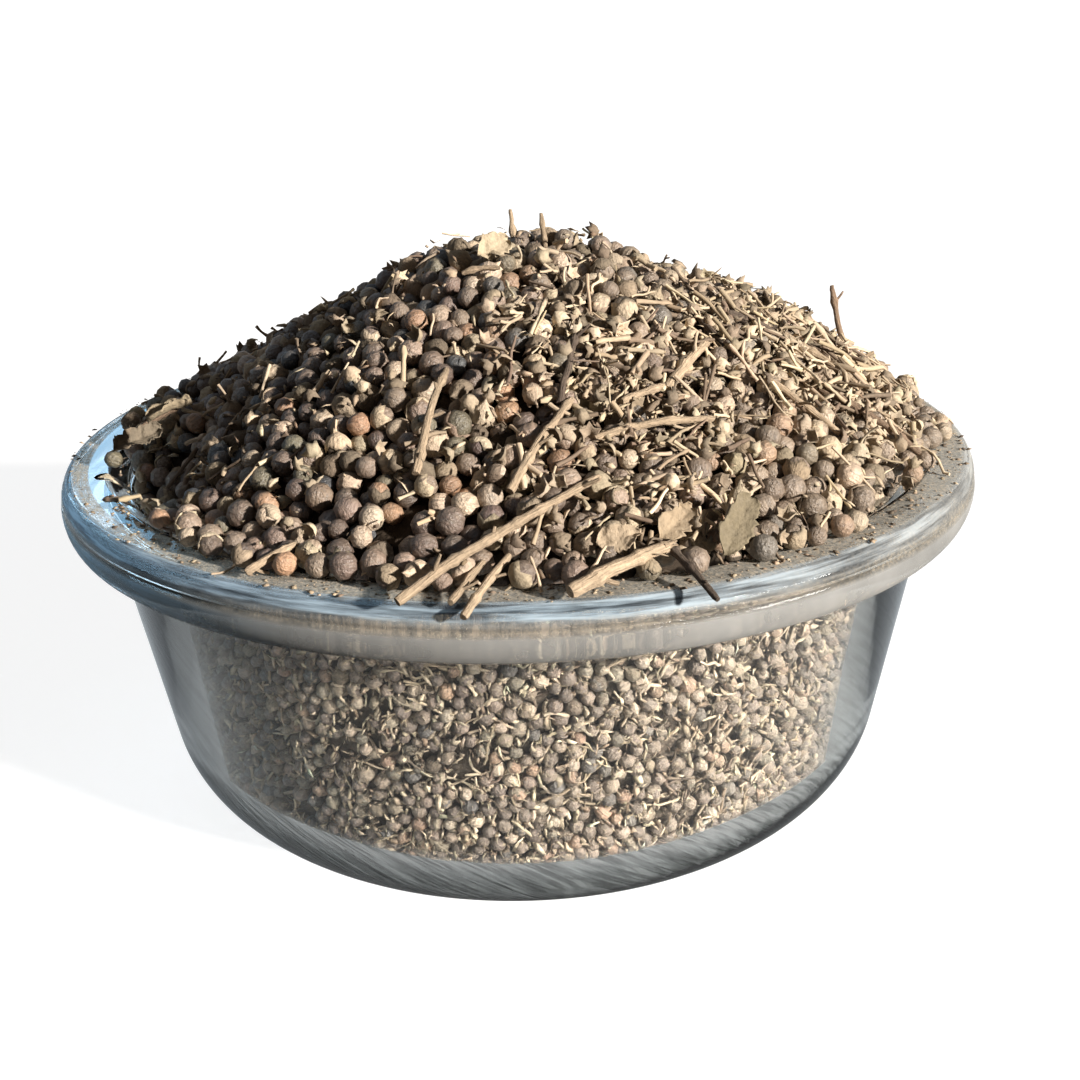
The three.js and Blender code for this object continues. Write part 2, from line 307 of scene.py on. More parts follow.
def with_sockets(
    tree: Tree, inputs: Sequence[Tuple[str, str]], outputs: Sequence[Tuple[str, str]]
) -> Tuple[Node, Node]:
    """Declares a tree's inputs and outputs.

    Args:
        tree: The node tree.
        inputs: Name and kind of each input.
        outputs: Name and kind of each output.

    Returns:
        The group input node and the group output node.
    """
    for side, sockets in (("INPUT", inputs), ("OUTPUT", outputs)):
        for label, kind in sockets:
            tree.interface.new_socket(label, in_out=side, socket_type="NodeSocket" + kind)
    return tree.nodes.new("NodeGroupInput"), tree.nodes.new("NodeGroupOutput")


UNEVEN_INPUTS = (("Unevenness", "Float"), ("Lump Size", "Float"), ("Seed", "Int"), ("Finish", "Material"))


def uneven_and_finished(wiring: Wiring, geometry: object, given: Node, out: Node) -> None:
    """Ends a tree: corners moved by a noise in space, so that no two copies are alike, and a material.

    Args:
        wiring: The tree's wiring.
        geometry: What the tree has made.
        given: The tree's input node.
        out: The tree's output node.
    """
    scale = wiring.math("DIVIDE", 1.0, given.outputs["Lump Size"])
    position = wiring.add("GeometryNodeInputPosition").outputs[0]
    noise = wiring.add(
        "ShaderNodeTexNoise",
        {"noise_dimensions": "4D"},
        Vector=position,
        W=given.outputs["Seed"],
        Scale=scale,
        Detail=1.0,
    ).outputs["Color"]
    offset = wiring.scaled(wiring.moved(noise, (0.5, 0.5, 0.5), "SUBTRACT"), given.outputs["Unevenness"])
    moved = wiring.add("GeometryNodeSetPosition", Geometry=geometry, Offset=offset).outputs[0]
    shaded = wiring.add("GeometryNodeSetShadeSmooth", in0=moved).outputs[0]
    whole = wiring.add("GeometryNodeRealizeInstances", in0=shaded).outputs[0]
    finish = given.outputs["Finish"]
    dressed = wiring.add("GeometryNodeSetMaterial", Geometry=whole, Material=finish).outputs[0]
    wiring.tree.links.new(dressed, out.inputs[0])


def scatter_tree() -> Tree:
    """Geometry Nodes that put one shape on every point of a mesh, by its attributes turn and size."""
    tree = bpy.data.node_groups.new("scatter_on_points", "GeometryNodeTree")
    inputs = (("Points", "Geometry"), ("Shape", "Object"), *UNEVEN_INPUTS)
    given, out = with_sockets(tree, inputs, [("Pieces", "Geometry")])
    wiring = Wiring(tree)
    copies = wiring.add(
        "GeometryNodeInstanceOnPoints",
        None,
        Points=given.outputs["Points"],
        Instance=wiring.add("GeometryNodeObjectInfo", Object=given.outputs["Shape"]).outputs["Geometry"],
        Rotation=wiring.add(
            "FunctionNodeEulerToRotation", None, Euler=wiring.stored("turn", "FLOAT_VECTOR")
        ).outputs[0],
        Scale=wiring.stored("size", "FLOAT_VECTOR"),
    ).outputs[0]
    real = wiring.add("GeometryNodeRealizeInstances", in0=copies).outputs[0]
    uneven_and_finished(wiring, real, given, out)
    return tree


def strand_tree() -> Tree:
    """Geometry Nodes that give every line of a mesh a round section as thick as its attribute girth."""
    tree = bpy.data.node_groups.new("strands_on_lines", "GeometryNodeTree")
    inputs = (("Lines", "Geometry"), ("Sides", "Int"), *UNEVEN_INPUTS)
    given, out = with_sockets(tree, inputs, [("Strands", "Geometry")])
    wiring = Wiring(tree)
    lines = wiring.add("GeometryNodeMeshToCurve", Mesh=given.outputs["Lines"]).outputs[0]
    along = wiring.add("GeometryNodeSplineParameter").outputs["Length"]
    circle = wiring.add(
        "GeometryNodeCurvePrimitiveCircle", None, Resolution=given.outputs["Sides"], Radius=1.0
    ).outputs[0]
    position = wiring.add("GeometryNodeInputPosition").outputs[0]
    tube = wiring.add(
        "GeometryNodeCurveToMesh",
        None,
        Curve=wiring.kept(lines, "grain_along", "FLOAT", along),
        Profile_Curve=wiring.kept(circle, "grain_round", "FLOAT_VECTOR", position),
        Scale=wiring.stored("girth", "FLOAT"),
        Fill_Caps=True,
    ).outputs[0]
    uneven_and_finished(wiring, tube, given, out)
    return tree


def settled(
    name: str,
    points: Mesh,
    tree: Tree,
    finish: Material,
    unevenness: float,
    lump: float,
    values: Dict[str, object],
) -> Thing:
    """Runs a Geometry Nodes tree on points or lines and keeps the result as a plain mesh.

    Args:
        name: The finished piece's name.
        points: The mesh whose points or lines the tree reads. It is removed.
        tree: The tree.
        finish: The piece's material.
        unevenness: How far corners move, in millimetres.
        lump: Size of the unevenness, in millimetres.
        values: The tree's other inputs by name.

    Returns:
        The finished piece, at the origin and without modifiers.
    """
    carrier = placed(points.name, points)
    modifier = carrier.modifiers.new("make", "NODES")
    modifier.node_group = tree
    values = {"Unevenness": 2 * unevenness * MM, "Lump Size": lump * MM, "Finish": finish, **values}
    for label, value in values.items():
        modifier[identifier(tree, label)] = value
    bpy.context.view_layer.update()
    graph = bpy.context.evaluated_depsgraph_get()
    mesh = bpy.data.meshes.new_from_object(
        carrier.evaluated_get(graph), preserve_all_data_layers=True, depsgraph=graph
    )
    mesh.name = name
    for spare in ("turn", "size", "girth"):
        if spare in mesh.attributes:
            mesh.attributes.remove(mesh.attributes[spare])
    carrier.modifiers.remove(modifier)
    bpy.data.objects.remove(carrier)
    bpy.data.meshes.remove(points)
    return placed(name, mesh)


# ---- Finishes ----


def shader_group(
    name: str, inputs: Sequence[Tuple[str, str]], outputs: Sequence[str]
) -> Tuple[Tree, Wiring, Dict[str, Socket], Node]:
    """A new node group for materials, with its wiring, its inputs by name and its output node."""
    tree = bpy.data.node_groups.new(name, "ShaderNodeTree")
    given, out = with_sockets(tree, inputs, [(label, "Float") for label in outputs])
    return tree, Wiring(tree), {label: given.outputs[label] for label, _ in inputs}, out


def settled_dust() -> Tree:
    """A group that says how much pale dust lies on a surface: more where it faces up, and in patches."""
    name = "settled_dust"
    if name in bpy.data.node_groups:
        return bpy.data.node_groups[name]
    inputs = (("Patch Scale", "Float"), ("Speck Scale", "Float"), ("Amount", "Float"))
    tree, wiring, given, out = shader_group(name, inputs, ["Mask"])
    place = wiring.place()
    patches = wiring.spread(wiring.noise(place, given["Patch Scale"], 3.0, 0.6), 0.35, 0.65, 0.25)
    specks = wiring.spread(wiring.noise(place, given["Speck Scale"], 2.0, 0.7), 0.42, 0.62, 0.35)
    facing = wiring.axes(wiring.add("ShaderNodeNewGeometry").outputs["Normal"])[2]
    upward = wiring.spread(facing, -0.5, 0.9, 0.3)
    mask = wiring.times(patches, specks, upward, given["Amount"], clamp=True)
    tree.links.new(mask, out.inputs[0])
    return tree


def long_grain() -> Tree:
    """A group that gives streaks along a piece's grain and fine mottling over it."""
    name = "long_grain"
    if name in bpy.data.node_groups:
        return bpy.data.node_groups[name]
    scales = [(label, "Float") for label in ("Fineness", "Stretch", "Mottle Scale")]
    inputs = (("Place", "Vector"), ("Tone", "Vector"), *scales)
    tree, wiring, given, out = shader_group(name, inputs, ["Streak", "Mottle"])
    own = wiring.scaled(given["Tone"], 91.0)
    parts = wiring.axes(given["Place"])
    squeezed = wiring.vector(parts[0], parts[1], wiring.times(parts[2], given["Stretch"]))
    streak = wiring.noise(wiring.moved(squeezed, own), given["Fineness"], 3.0, 0.6)
    mottle = wiring.noise(wiring.moved(given["Place"], own), given["Mottle Scale"], 4.0, 0.65)
    for index, pattern in enumerate((streak, mottle)):
        tree.links.new(wiring.spread(pattern, 0.32, 0.68), out.inputs[index])
    return tree


def new_material(name: str) -> Tuple[Material, Wiring, Node]:
    """A new node-based material with its wiring and its output node."""
    material = bpy.data.materials.new(name)
    material.use_nodes = True
    tree = material.node_tree
    tree.nodes.clear()
    return material, Wiring(tree), tree.nodes.new("ShaderNodeOutputMaterial")


@dataclass(frozen=True)
class DryFinish:
    """A dry plant surface: its own tone, streaks along the grain, mottling and settled dust."""

    name: str
    fineness: float = 3.0
    stretch: float = 0.2
    mottle: float = 3.0
    streak_share: float = 0.5
    lighten: float = 1.7
    darken: float = 0.55
    dust: Colour = (0.42, 0.35, 0.26)
    dust_amount: float = 0.5
    dust_patches: float = 130.0
    dust_specks: float = 1900.0
    roughness: float = 0.85
    bump: float = 0.25
    bump_depth: float = 0.00012
    specular: float = 0.25
    strand: bool = False

    def material(self) -> Material:
        """Builds the finish as a material."""
        material, wiring, out = new_material(self.name)
        tone = wiring.attribute("tone", "Vector")
        if self.strand:
            around = wiring.attribute("grain_round", "Vector")
            along = wiring.attribute("grain_along")
            parts = wiring.axes(around)
            place = wiring.vector(parts[0], parts[1], wiring.times(along, 1.0 / MM))
        else:
            place = wiring.attribute("grain", "Vector")
        scales = {"Fineness": self.fineness, "Stretch": self.stretch, "Mottle Scale": self.mottle}
        grain = wiring.add("ShaderNodeGroup", {"node_tree": long_grain()}, Place=place, Tone=tone, **scales)
        streak, mottle = grain.outputs
        pale = wiring.scaled(tone, self.lighten)
        dark = wiring.scaled(tone, self.darken)
        body = wiring.mix(wiring.times(mottle, 0.6), tone, dark)
        skin = wiring.mix(wiring.times(streak, self.streak_share), body, pale)
        scales = {"Patch Scale": self.dust_patches, "Speck Scale": self.dust_specks}
        scales["Amount"] = self.dust_amount
        dust = wiring.add("ShaderNodeGroup", {"node_tree": settled_dust()}, **scales)
        colour = wiring.mix(dust.outputs[0], skin, self.dust)
        rough = wiring.spread(streak, 0.0, 1.0, self.roughness - 0.1, min(self.roughness + 0.08, 1.0))
        height = wiring.plus(wiring.times(streak, 0.6), wiring.times(mottle, 0.6))
        bump = wiring.add("ShaderNodeBump", Strength=self.bump, Distance=self.bump_depth, Height=height)
        bump = bump.outputs[0]
        shader = wiring.add("ShaderNodeBsdfPrincipled", Base_Color=colour, Roughness=rough, Normal=bump)
        shader.inputs["Specular IOR Level"].default_value = self.specular
        wiring.tree.links.new(shader.outputs[0], out.inputs[0])
        return material


@dataclass(frozen=True)
class ClearGlass:
    """Pressed clear glass, greyer at its edges and in its thick foot.

    It lets the lamps through to what is behind it. Heights and places are metres.
    """

    name: str = "clear_pressed_glass"
    face: Colour = (0.96, 0.975, 0.98)
    edge: Colour = (0.74, 0.80, 0.83)
    foot: Colour = (0.97, 0.99, 1.0)
    sole: Colour = (0.56, 0.60, 0.61)
    rim: Colour = (0.93, 0.96, 0.975)
    foot_height: float = 0.0155
    sole_height: float = 0.0075
    rim_height: float = 0.0545
    streak_depth: float = 0.8
    streak_length: float = 0.06
    streak_slant: float = 1.3
    corner_middle: Tuple[float, float] = (0.0423, 0.0209)
    ior: float = 1.5
    shadow: Colour = (0.76, 0.77, 0.78)
    ripple_scale: float = 60.0
    ripple_depth: float = 0.00004
    flow_scale: float = 620.0

    def streaks(self, wiring: Wiring, place: Socket) -> Socket:
        """Fine slanting lines round the glass, as a share of its clearness: in the foot's colour they are
        painted refraction of a grained table top, and they also give a faint relief.
        """
        parts = wiring.axes(place)
        turn = wiring.times(wiring.math("ARCTAN2", parts[1], parts[0]), 60.0)
        rise = wiring.times(parts[2], 1.0 / MM)
        across = wiring.plus(turn, wiring.times(rise, self.streak_slant))
        along = wiring.times(wiring.minus(rise, turn), self.streak_length)
        lines = wiring.vector(across, along, 0.0)
        shade = wiring.spread(wiring.noise(lines, 0.6, 3.0, 0.7), 0.43, 0.57)
        flat = wiring.vector(parts[0], parts[1], 0.0)
        out = wiring.math("POWER", wiring.minus(wiring.length(flat), self.corner_middle[0]), 2.0)
        up = wiring.math("POWER", wiring.minus(parts[2], self.corner_middle[1]), 2.0)
        from_middle = wiring.math("SQRT", wiring.plus(out, up))
        above = wiring.spread(parts[2], 0.0002, 0.0008)
        outside = wiring.times(wiring.spread(from_middle, 0.0175, 0.0195), above)
        return wiring.minus(1.05, wiring.times(shade, outside, self.streak_depth))

    def flow_lines(self, wiring: Wiring, place: Socket) -> Socket:
        """Faint lines that run round the bowl, as pressed glass has them."""
        parts = wiring.axes(place)
        turn = wiring.times(wiring.math("ARCTAN2", parts[1], parts[0]), 2.5)
        reach = wiring.length(place)
        out = wiring.times(reach, self.flow_scale)
        up = wiring.times(parts[2], self.flow_scale)
        lines = wiring.vector(turn, out, up)
        return wiring.noise(lines, 1.0, 2.0, 0.5)

    def material(self) -> Material:
        """Builds the glass as a material."""
        material, wiring, out = new_material(self.name)
        place = wiring.place()
        swell = wiring.noise(place, self.ripple_scale, 1.0, 0.4)
        level = wiring.axes(place)[2]
        low = wiring.fall(level, self.foot_height * 0.8, self.foot_height)
        at_rim = wiring.spread(level, self.rim_height - 0.001, self.rim_height)
        below_top = wiring.fall(level, self.rim_height + 0.0073, self.rim_height + 0.0081)
        edge = wiring.times(at_rim, below_top)
        streaks = self.streaks(wiring, place)
        round_rim = wiring.times(self.flow_lines(wiring, place), edge)
        height = wiring.plus(swell, round_rim, wiring.times(streaks, low))
        ripple = wiring.add("ShaderNodeBump", Strength=0.5, Distance=self.ripple_depth, Height=height)
        ripple = ripple.outputs[0]
        facing = wiring.add("ShaderNodeLayerWeight", Blend=0.5).outputs["Facing"]
        slant = wiring.spread(facing, 0.45, 0.95)
        under = wiring.fall(level, self.sole_height * 0.45, self.sole_height)
        high = wiring.spread(level, self.rim_height - 0.0005, self.rim_height)
        tinted = wiring.mix(low, self.edge, wiring.mix(under, self.foot, self.sole))
        # The slanting lines darken the foot's colour, painted refraction.
        lined = wiring.scaled(tinted, streaks)
        colour = wiring.mix(high, wiring.mix(wiring.highest(low, slant), self.face, lined), self.rim)
        glass = wiring.add("ShaderNodeBsdfPrincipled", Base_Color=colour, Roughness=0.02, Normal=ripple)
        glass.inputs["IOR"].default_value = self.ior
        glass.inputs["Transmission Weight"].default_value = 1.0
        glass.inputs["Metallic"].default_value = 0.0
        clear = wiring.add("ShaderNodeBsdfTransparent", Color=(*self.shadow, 1.0))
        lamp = wiring.add("ShaderNodeLightPath").outputs["Is Shadow Ray"]
        both = wiring.add("ShaderNodeMixShader", in0=lamp, in1=glass.outputs[0], in2=clear.outputs[0])
        wiring.tree.links.new(both.outputs[0], out.inputs[0])
        return material


@dataclass(frozen=True)
class RimDustFinish:
    """Fine dust on the flat of the rim, thick at the right, with a painted pale grey, a painted blue sheen
    and a painted brown band of refracted fruit on its edge.

    The attribute reach runs from 0 at the inner side of the flat over 1 at the edge to 1.88 under it.
    """

    name: str = "rim_dust_film"
    colour: Colour = (0.33, 0.315, 0.28)
    specks: Colour = (0.56, 0.49, 0.39)
    painted_grey: Colour = (0.34, 0.34, 0.33)
    shine: Colour = (0.13, 0.165, 0.20)
    shine_line: Colour = (0.42, 0.52, 0.60)
    # Dark and pale of the painted refraction of the fruit on the edge.
    refracted_dark: Colour = (0.11, 0.085, 0.062)
    refracted_pale: Colour = (0.34, 0.285, 0.225)

    def material(self) -> Material:
        """Builds the dust film as a material."""
        material, wiring, out = new_material(self.name)
        place, reach = wiring.place(), wiring.attribute("reach")
        x, y, _ = wiring.axes(place)
        turn = wiring.times(wiring.math("ARCTAN2", y, x), 5.0)
        right, left = wiring.spread(x, 0.01, 0.07), wiring.fall(x, -0.065, -0.03)
        lines = wiring.vector(turn, wiring.times(reach, 11.0), 0.0)
        flow = wiring.spread(wiring.noise(lines, 1.0, 3.0, 0.6), 0.36, 0.64)
        dust = self.dust(wiring, place, reach, flow, right, left)
        # Painted pale grey on the lower lobe of the edge, in soft patches, standing in for the grey that the
        # glass shows there.
        low = wiring.times(wiring.spread(reach, 1.44, 1.5), wiring.spread(reach, 1.8, 1.88, 1.0, 0.3))
        painted_grey = wiring.times(wiring.spread(wiring.noise(place, 90.0, 3.0, 0.5), 0.3, 0.7, 0.35, 0.68), low)
        # Painted blue sheen on the upper lobe of the edge, a painted reflection of sky in flowing lines.
        upper = wiring.times(wiring.spread(reach, 0.98, 1.08), wiring.fall(reach, 1.3, 1.44))
        sheen = wiring.times(upper, wiring.spread(flow, 0.0, 1.0, 0.12, 0.72))
        # Painted refraction of the brown fruit, a band of fine upright streaks on the front of the edge.
        ticks = wiring.vector(wiring.times(turn, 14.0), reach, 0.0)
        refraction_streaks = wiring.spread(wiring.noise(ticks, 1.0, 3.0, 0.7), 0.36, 0.62)
        front = wiring.times(wiring.spread(x, -0.05, -0.03), wiring.fall(x, 0.0, 0.03))
        band = wiring.times(wiring.spread(reach, 1.3, 1.36), wiring.fall(reach, 1.46, 1.52))
        painted_refraction = wiring.times(band, front, wiring.spread(refraction_streaks, 0.0, 1.0, 0.25, 0.7))
        cover = wiring.highest(dust, painted_grey, sheen, painted_refraction, clamp=True)
        speck = wiring.spread(wiring.noise(place, 2400.0, 2.0), 0.45, 0.65)
        # The painted sheen's colour: blue lines, going to the painted grey at the right.
        lined = wiring.mix(flow, self.shine, self.shine_line)
        blue = wiring.mix(wiring.times(right, 0.75), lined, self.painted_grey)
        brown = wiring.mix(speck, self.colour, self.specks)
        # At the left the lower lobe's painted grey turns to the painted blue sheen.
        under = wiring.mix(wiring.times(left, flow), self.painted_grey, self.shine_line)
        colour = wiring.mix(low, wiring.mix(wiring.minus(upper, dust, clamp=True), brown, blue), under)
        colour = wiring.mix(painted_refraction, colour, wiring.mix(refraction_streaks, self.refracted_dark, self.refracted_pale))
        shader = wiring.add("ShaderNodeBsdfPrincipled", Base_Color=colour, Roughness=0.95, Alpha=cover)
        shader.inputs["Specular IOR Level"].default_value = 0.1
        wiring.tree.links.new(shader.outputs[0], out.inputs[0])
        return material

    def dust(
        self, wiring: Wiring, place: Socket, reach: Socket, flow: Socket, right: Socket, left: Socket
    ) -> Socket:
        """How much dry dust lies at each place: patchy, wiped off in the crescent and smeared at the left."""
        patches = wiring.spread(wiring.noise(place, 60.0, 4.0, 0.65), 0.33, 0.6, 0.42, 0.95)
        grit = wiring.spread(wiring.noise(place, 1500.0, 3.0, 0.75), 0.4, 0.6, 0.55)
        edge = wiring.times(wiring.spread(reach, 1.0, 1.2, 0.0, 0.55), right)
        wiped = wiring.times(left, wiring.fall(reach, 0.56, 0.66))
        smeared = wiring.times(left, wiring.spread(flow, 0.0, 1.0, 0.65, 0.1))
        kept = wiring.minus(1.0, wiring.highest(wiped, smeared))
        lying = wiring.times(wiring.plus(wiring.fall(reach, 1.0, 1.16), edge), kept)
        return wiring.times(patches, grit, lying)


@dataclass(frozen=True)
class StudioFinish:
    """The plain pale floor, which glows so that its shadows stay soft.

    In and through the glass it is darker, painted shade: darkest where the glass mirrors it in front, and at
    the left of what the glass lets through, where the bowl's shadow lies.
    """

    name: str = "pale_floor"
    colour: Colour = (0.30, 0.30, 0.30)
    glow: Colour = (0.84, 0.84, 0.84)
    through_left: Colour = (0.23, 0.24, 0.24)
    through_right: Colour = (0.52, 0.525, 0.50)
    in_glass: Colour = (0.42, 0.46, 0.49)
    in_front: Colour = (0.06, 0.064, 0.068)

    def material(self) -> Material:
        """Builds the floor's material."""
        material, wiring, out = new_material(self.name)
        place = wiring.place()
        cloud = wiring.spread(wiring.noise(place, 3.0, 2.0), 0.3, 0.7, 0.0, 0.06)
        path = wiring.add("ShaderNodeLightPath").outputs
        darker = tuple(0.94 * c for c in self.colour)
        dim = tuple(0.25 * c for c in self.through_left)
        x, y, _ = wiring.axes(place)
        # Painted shade: dark where the glass mirrors the floor in front, darker at the left of what the glass
        # lets through.
        mirrored = wiring.mix(wiring.spread(y, -0.05, 0.05), self.in_front, self.in_glass)
        through_glass = wiring.mix(wiring.spread(x, -0.04, 0.08), self.through_left, self.through_right)
        colour = wiring.mix(path["Is Camera Ray"], dim, wiring.mix(cloud, self.colour, darker))
        glow = wiring.mix(path["Is Transmission Ray"], mirrored, through_glass)
        glow = wiring.mix(path["Is Camera Ray"], glow, self.glow)
        shader = wiring.add("ShaderNodeBsdfPrincipled", Base_Color=colour, Roughness=0.7, Emission_Color=glow)
        shader.inputs["Emission Strength"].default_value = 1.0
        shader.inputs["Specular IOR Level"].default_value = 0.2
        wiring.tree.links.new(shader.outputs[0], out.inputs[0])
        material.cycles.emission_sampling = "NONE"
        return material


# ---- The bowl ----


def arc(
    centre: Tuple[float, float], across: float, up: float, start: float, end: float, steps: int
) -> Outline:
    """Points of an arc or half oval in the radius-height plane, both ends included."""
    angles = np.linspace(start, end, steps + 1)
    return [(centre[0] + across * math.cos(a), centre[1] + up * math.sin(a)) for a in angles]


@dataclass
class GlassBowl:
    """The pressed glass bowl with its leaning wall, rounded foot and flat flanged rim."""

    rim_radius: float = 77.0
    height: float = 63.0
    flange_thickness: float = 8.9
    flange_rounding: float = 2.6
    wall: float = 5.0
    floor: float = 5.5
    top_radius: float = 69.8
    foot_radius: float = 59.7
    foot_corner: float = 20.9
    inner_corner: float = 15.9
    ledge_radius: float = 69.0
    ledge_depth: float = 2.6
    groove: float = 0.3
    groove_turn: float = 0.2
    turns: int = 160
    dust_lift: float = 0.03
    dust_thickness: float = 0.04
    finish: ClearGlass = field(default_factory=ClearGlass)
    dust_finish: RimDustFinish = field(default_factory=RimDustFinish)

    @property
    def lean(self) -> float:
        """The wall's lean from upright, in radians."""
        return math.atan2(self.top_radius - self.foot_radius, self.height - self.flange_thickness)

    def inner_foot_radius(self) -> float:
        """Radius at floor level of the line that the inside of the wall lies on."""
        return self.foot_radius - self.wall / math.cos(self.lean)

    def inner_line(self, corner_steps: int = 12) -> Outline:
        """The inside of the glass from the centre of the floor up to the flat of the rim."""
        lean, corner, foot = self.lean, self.inner_corner, self.inner_foot_radius()
        centre = foot - (corner - (self.floor + corner) * math.sin(lean)) / math.cos(lean)
        mouth = self.height - self.ledge_depth
        line = [(0.0, self.floor)]
        line += arc((centre, self.floor + corner), corner, corner, -math.pi / 2, -lean, corner_steps)
        line += [(foot + mouth * math.tan(lean), mouth), (self.ledge_radius, self.height)]
        return line

    def inner_radius(self, level: Array) -> Array:
        """The inside radius of the glass at given heights."""
        line = np.array(self.inner_line(24))
        return np.interp(level, line[1:, 1], line[1:, 0])

    def distance_inside(self, points: Array) -> Tuple[Array, Array]:
        """How far each point is from the inside of the glass, and the direction away from it.

        Args:
            points: Places inside the bowl or above its rim.

        Returns:
            The distances, and unit directions away from the glass, in space.
        """
        line = np.array(self.inner_line(10) + [(76.0, self.height)])
        reach = reach_of(points)
        flat = np.stack([reach, points[:, 2]], axis=1)
        best = np.full(len(points), 1e9)
        away = np.zeros_like(flat)
        for start, end in zip(line[:-1], line[1:]):
            side = end - start
            share = np.clip(((flat - start) @ side) / (side @ side), 0, 1)
            gap = flat - (start + share[:, None] * side)
            length = np.linalg.norm(gap, axis=1)
            closer = length < best
            best[closer] = length[closer]
            away[closer] = gap[closer] / np.maximum(length[closer], 1e-6)[:, None]
        unit = points[:, :2] / np.maximum(reach, 1e-6)[:, None]
        return best, np.concatenate([unit * away[:, :1], away[:, 1:]], axis=1)

    def clear_of_wall(self, points: Array, gap: Array) -> Array:
        """Moves points off the inside of the glass until they have their gap from it."""
        for _ in range(2):
            near, away = self.distance_inside(points)
            points = points + away * np.maximum(gap - near, 0)[:, None]
        return points

    def draw_in(self, mesh: Mesh, clearance: float = 0.02) -> None:
        """Moves the corners of a loose piece's mesh that poke into the glass back to just inside it.

        Args:
            mesh: The mesh, in metres.
            clearance: The gap that is left, in millimetres.
        """
        flat = np.empty(len(mesh.vertices) * 3)
        mesh.vertices.foreach_get("co", flat)
        points = flat.reshape(-1, 3) / MM
        reach = reach_of(points)
        line = np.array(self.inner_line(18))
        mouth = line[-1]
        inside = np.interp(points[:, 2], line[1:, 1], line[1:, 0])
        below = points[:, 2] < mouth[1]
        touching = (points[:, 2] < self.floor + clearance) | (reach > inside - clearance)
        poking = below & (reach < self.rim_radius - 1) & touching
        on_rim = poking & (reach > mouth[0]) & (points[:, 2] > mouth[1] - 3)
        points[on_rim, 2] = mouth[1] + clearance
        wall = poking & ~on_rim
        points[wall, 2] = np.maximum(points[wall, 2], self.floor + clearance)
        limit = np.interp(points[wall, 2], line[1:, 1], line[1:, 0]) - clearance
        shrink = np.minimum(1.0, limit / np.maximum(reach[wall], 1e-6))
        points[wall, :2] *= shrink[:, None]
        mesh.vertices.foreach_set("co", (points * MM).ravel())
        mesh.update()

    def flange_edge(self, start: float, end: float, steps: int) -> Outline:
        """The rounded edge of the flange between two angles, two lobes with a shallow groove between them."""
        centre = (self.rim_radius - self.flange_rounding, self.height - self.flange_thickness / 2)
        line = arc(centre, self.flange_rounding, self.flange_thickness / 2, start, end, steps)
        angles = np.linspace(start, end, steps + 1)
        dip = self.groove * np.exp(-(((angles - self.groove_turn) / 0.11) ** 2))
        return [(radius - cut, level) for (radius, level), cut in zip(line, dip)]

    def outer_line(self) -> Outline:
        """The outside of the glass from the centre of the underside up and over the flange."""
        lean = self.lean
        centre = self.foot_radius - self.foot_corner * (1 - math.sin(lean)) / math.cos(lean)
        under = self.height - self.flange_thickness
        line = [(0.0, 0.0), (0.5 * centre, 0.0)]
        line += arc((centre, self.foot_corner), self.foot_corner, self.foot_corner, -math.pi / 2, -lean, 22)
        joint = 0.9
        line += [(self.top_radius - joint * math.sin(lean), under - joint)]
        line += [(self.top_radius - 0.03, under - 0.25), (self.top_radius + 0.25, under - 0.02)]
        line += [(self.top_radius + joint, under)]
        line += self.flange_edge(-math.pi / 2, math.pi / 2, 44)
        return line

    def profile(self) -> Array:
        """The closed section of the glass, with its corners at the mouth eased."""
        inside = self.inner_line(18)
        edge, mouth = inside.pop(), inside.pop()
        eased = [
            (edge[0] + 0.6, edge[1]),
            (edge[0] + 0.15, edge[1] - 0.08),
            (edge[0] - 0.3, edge[1] - 0.36),
            (mouth[0] + 0.45, mouth[1] + 0.42),
            (mouth[0] + 0.1, mouth[1] + 0.02),
            (mouth[0] - 0.07, mouth[1] - 0.5),
        ]
        return np.array(self.outer_line() + eased + inside[::-1])

    def build(self) -> Thing:
        """Makes the glass and stands it in for the plain bowl of the frame."""
        mesh = smooth(lathe("glass_bowl_clear", self.profile(), self.turns))
        mesh.materials.append(self.finish.material())
        bowl = placed("glass_bowl_clear", mesh)
        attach(bowl, BODY)
        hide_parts("glass_bowl")
        return bowl

    def build_dust(self) -> Thing:
        """Lays the thin film of dust and haze on the flat of the rim and over its rounded edge."""
        flat = [(self.ledge_radius + 0.7 + step, self.height) for step in np.linspace(0.0, 4.4, 8)]
        line = np.array(flat + self.flange_edge(math.pi / 2 - 0.05, -1.2, 40))
        slope = np.gradient(line, axis=0)
        normal = np.stack([-slope[:, 1], slope[:, 0]], axis=1)
        normal /= np.linalg.norm(normal, axis=1, keepdims=True)
        normal *= np.sign(normal[0, 1])
        low = line + normal * self.dust_lift
        high = low + normal * self.dust_thickness
        section = np.concatenate([low, high[::-1]])
        band = np.concatenate([np.linspace(0, 1, len(flat)), np.linspace(1.02, 1.88, len(line) - len(flat))])
        reach = np.concatenate([band, band[::-1]])
        count = len(section)
        angles = np.repeat(full_turn(self.turns), count)
        radii, levels = np.tile(section, (self.turns, 1)).T
        points = round_axis(angles, radii, levels) * MM
        faces = []
        for step in range(self.turns):
            here, there = step * count, ((step + 1) % self.turns) * count
            for k in range(count):
                after = (k + 1) % count
                faces.append((here + k, here + after, there + after, there + k))
        mesh = smooth(mesh_from("rim_dust", points, faces))
        set_values(mesh, "reach", np.tile(reach, self.turns))
        mesh.materials.append(self.dust_finish.material())
        dust = placed("rim_dust", mesh)
        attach(dust, BODY)
        return dust


# ---- The heap's form ----


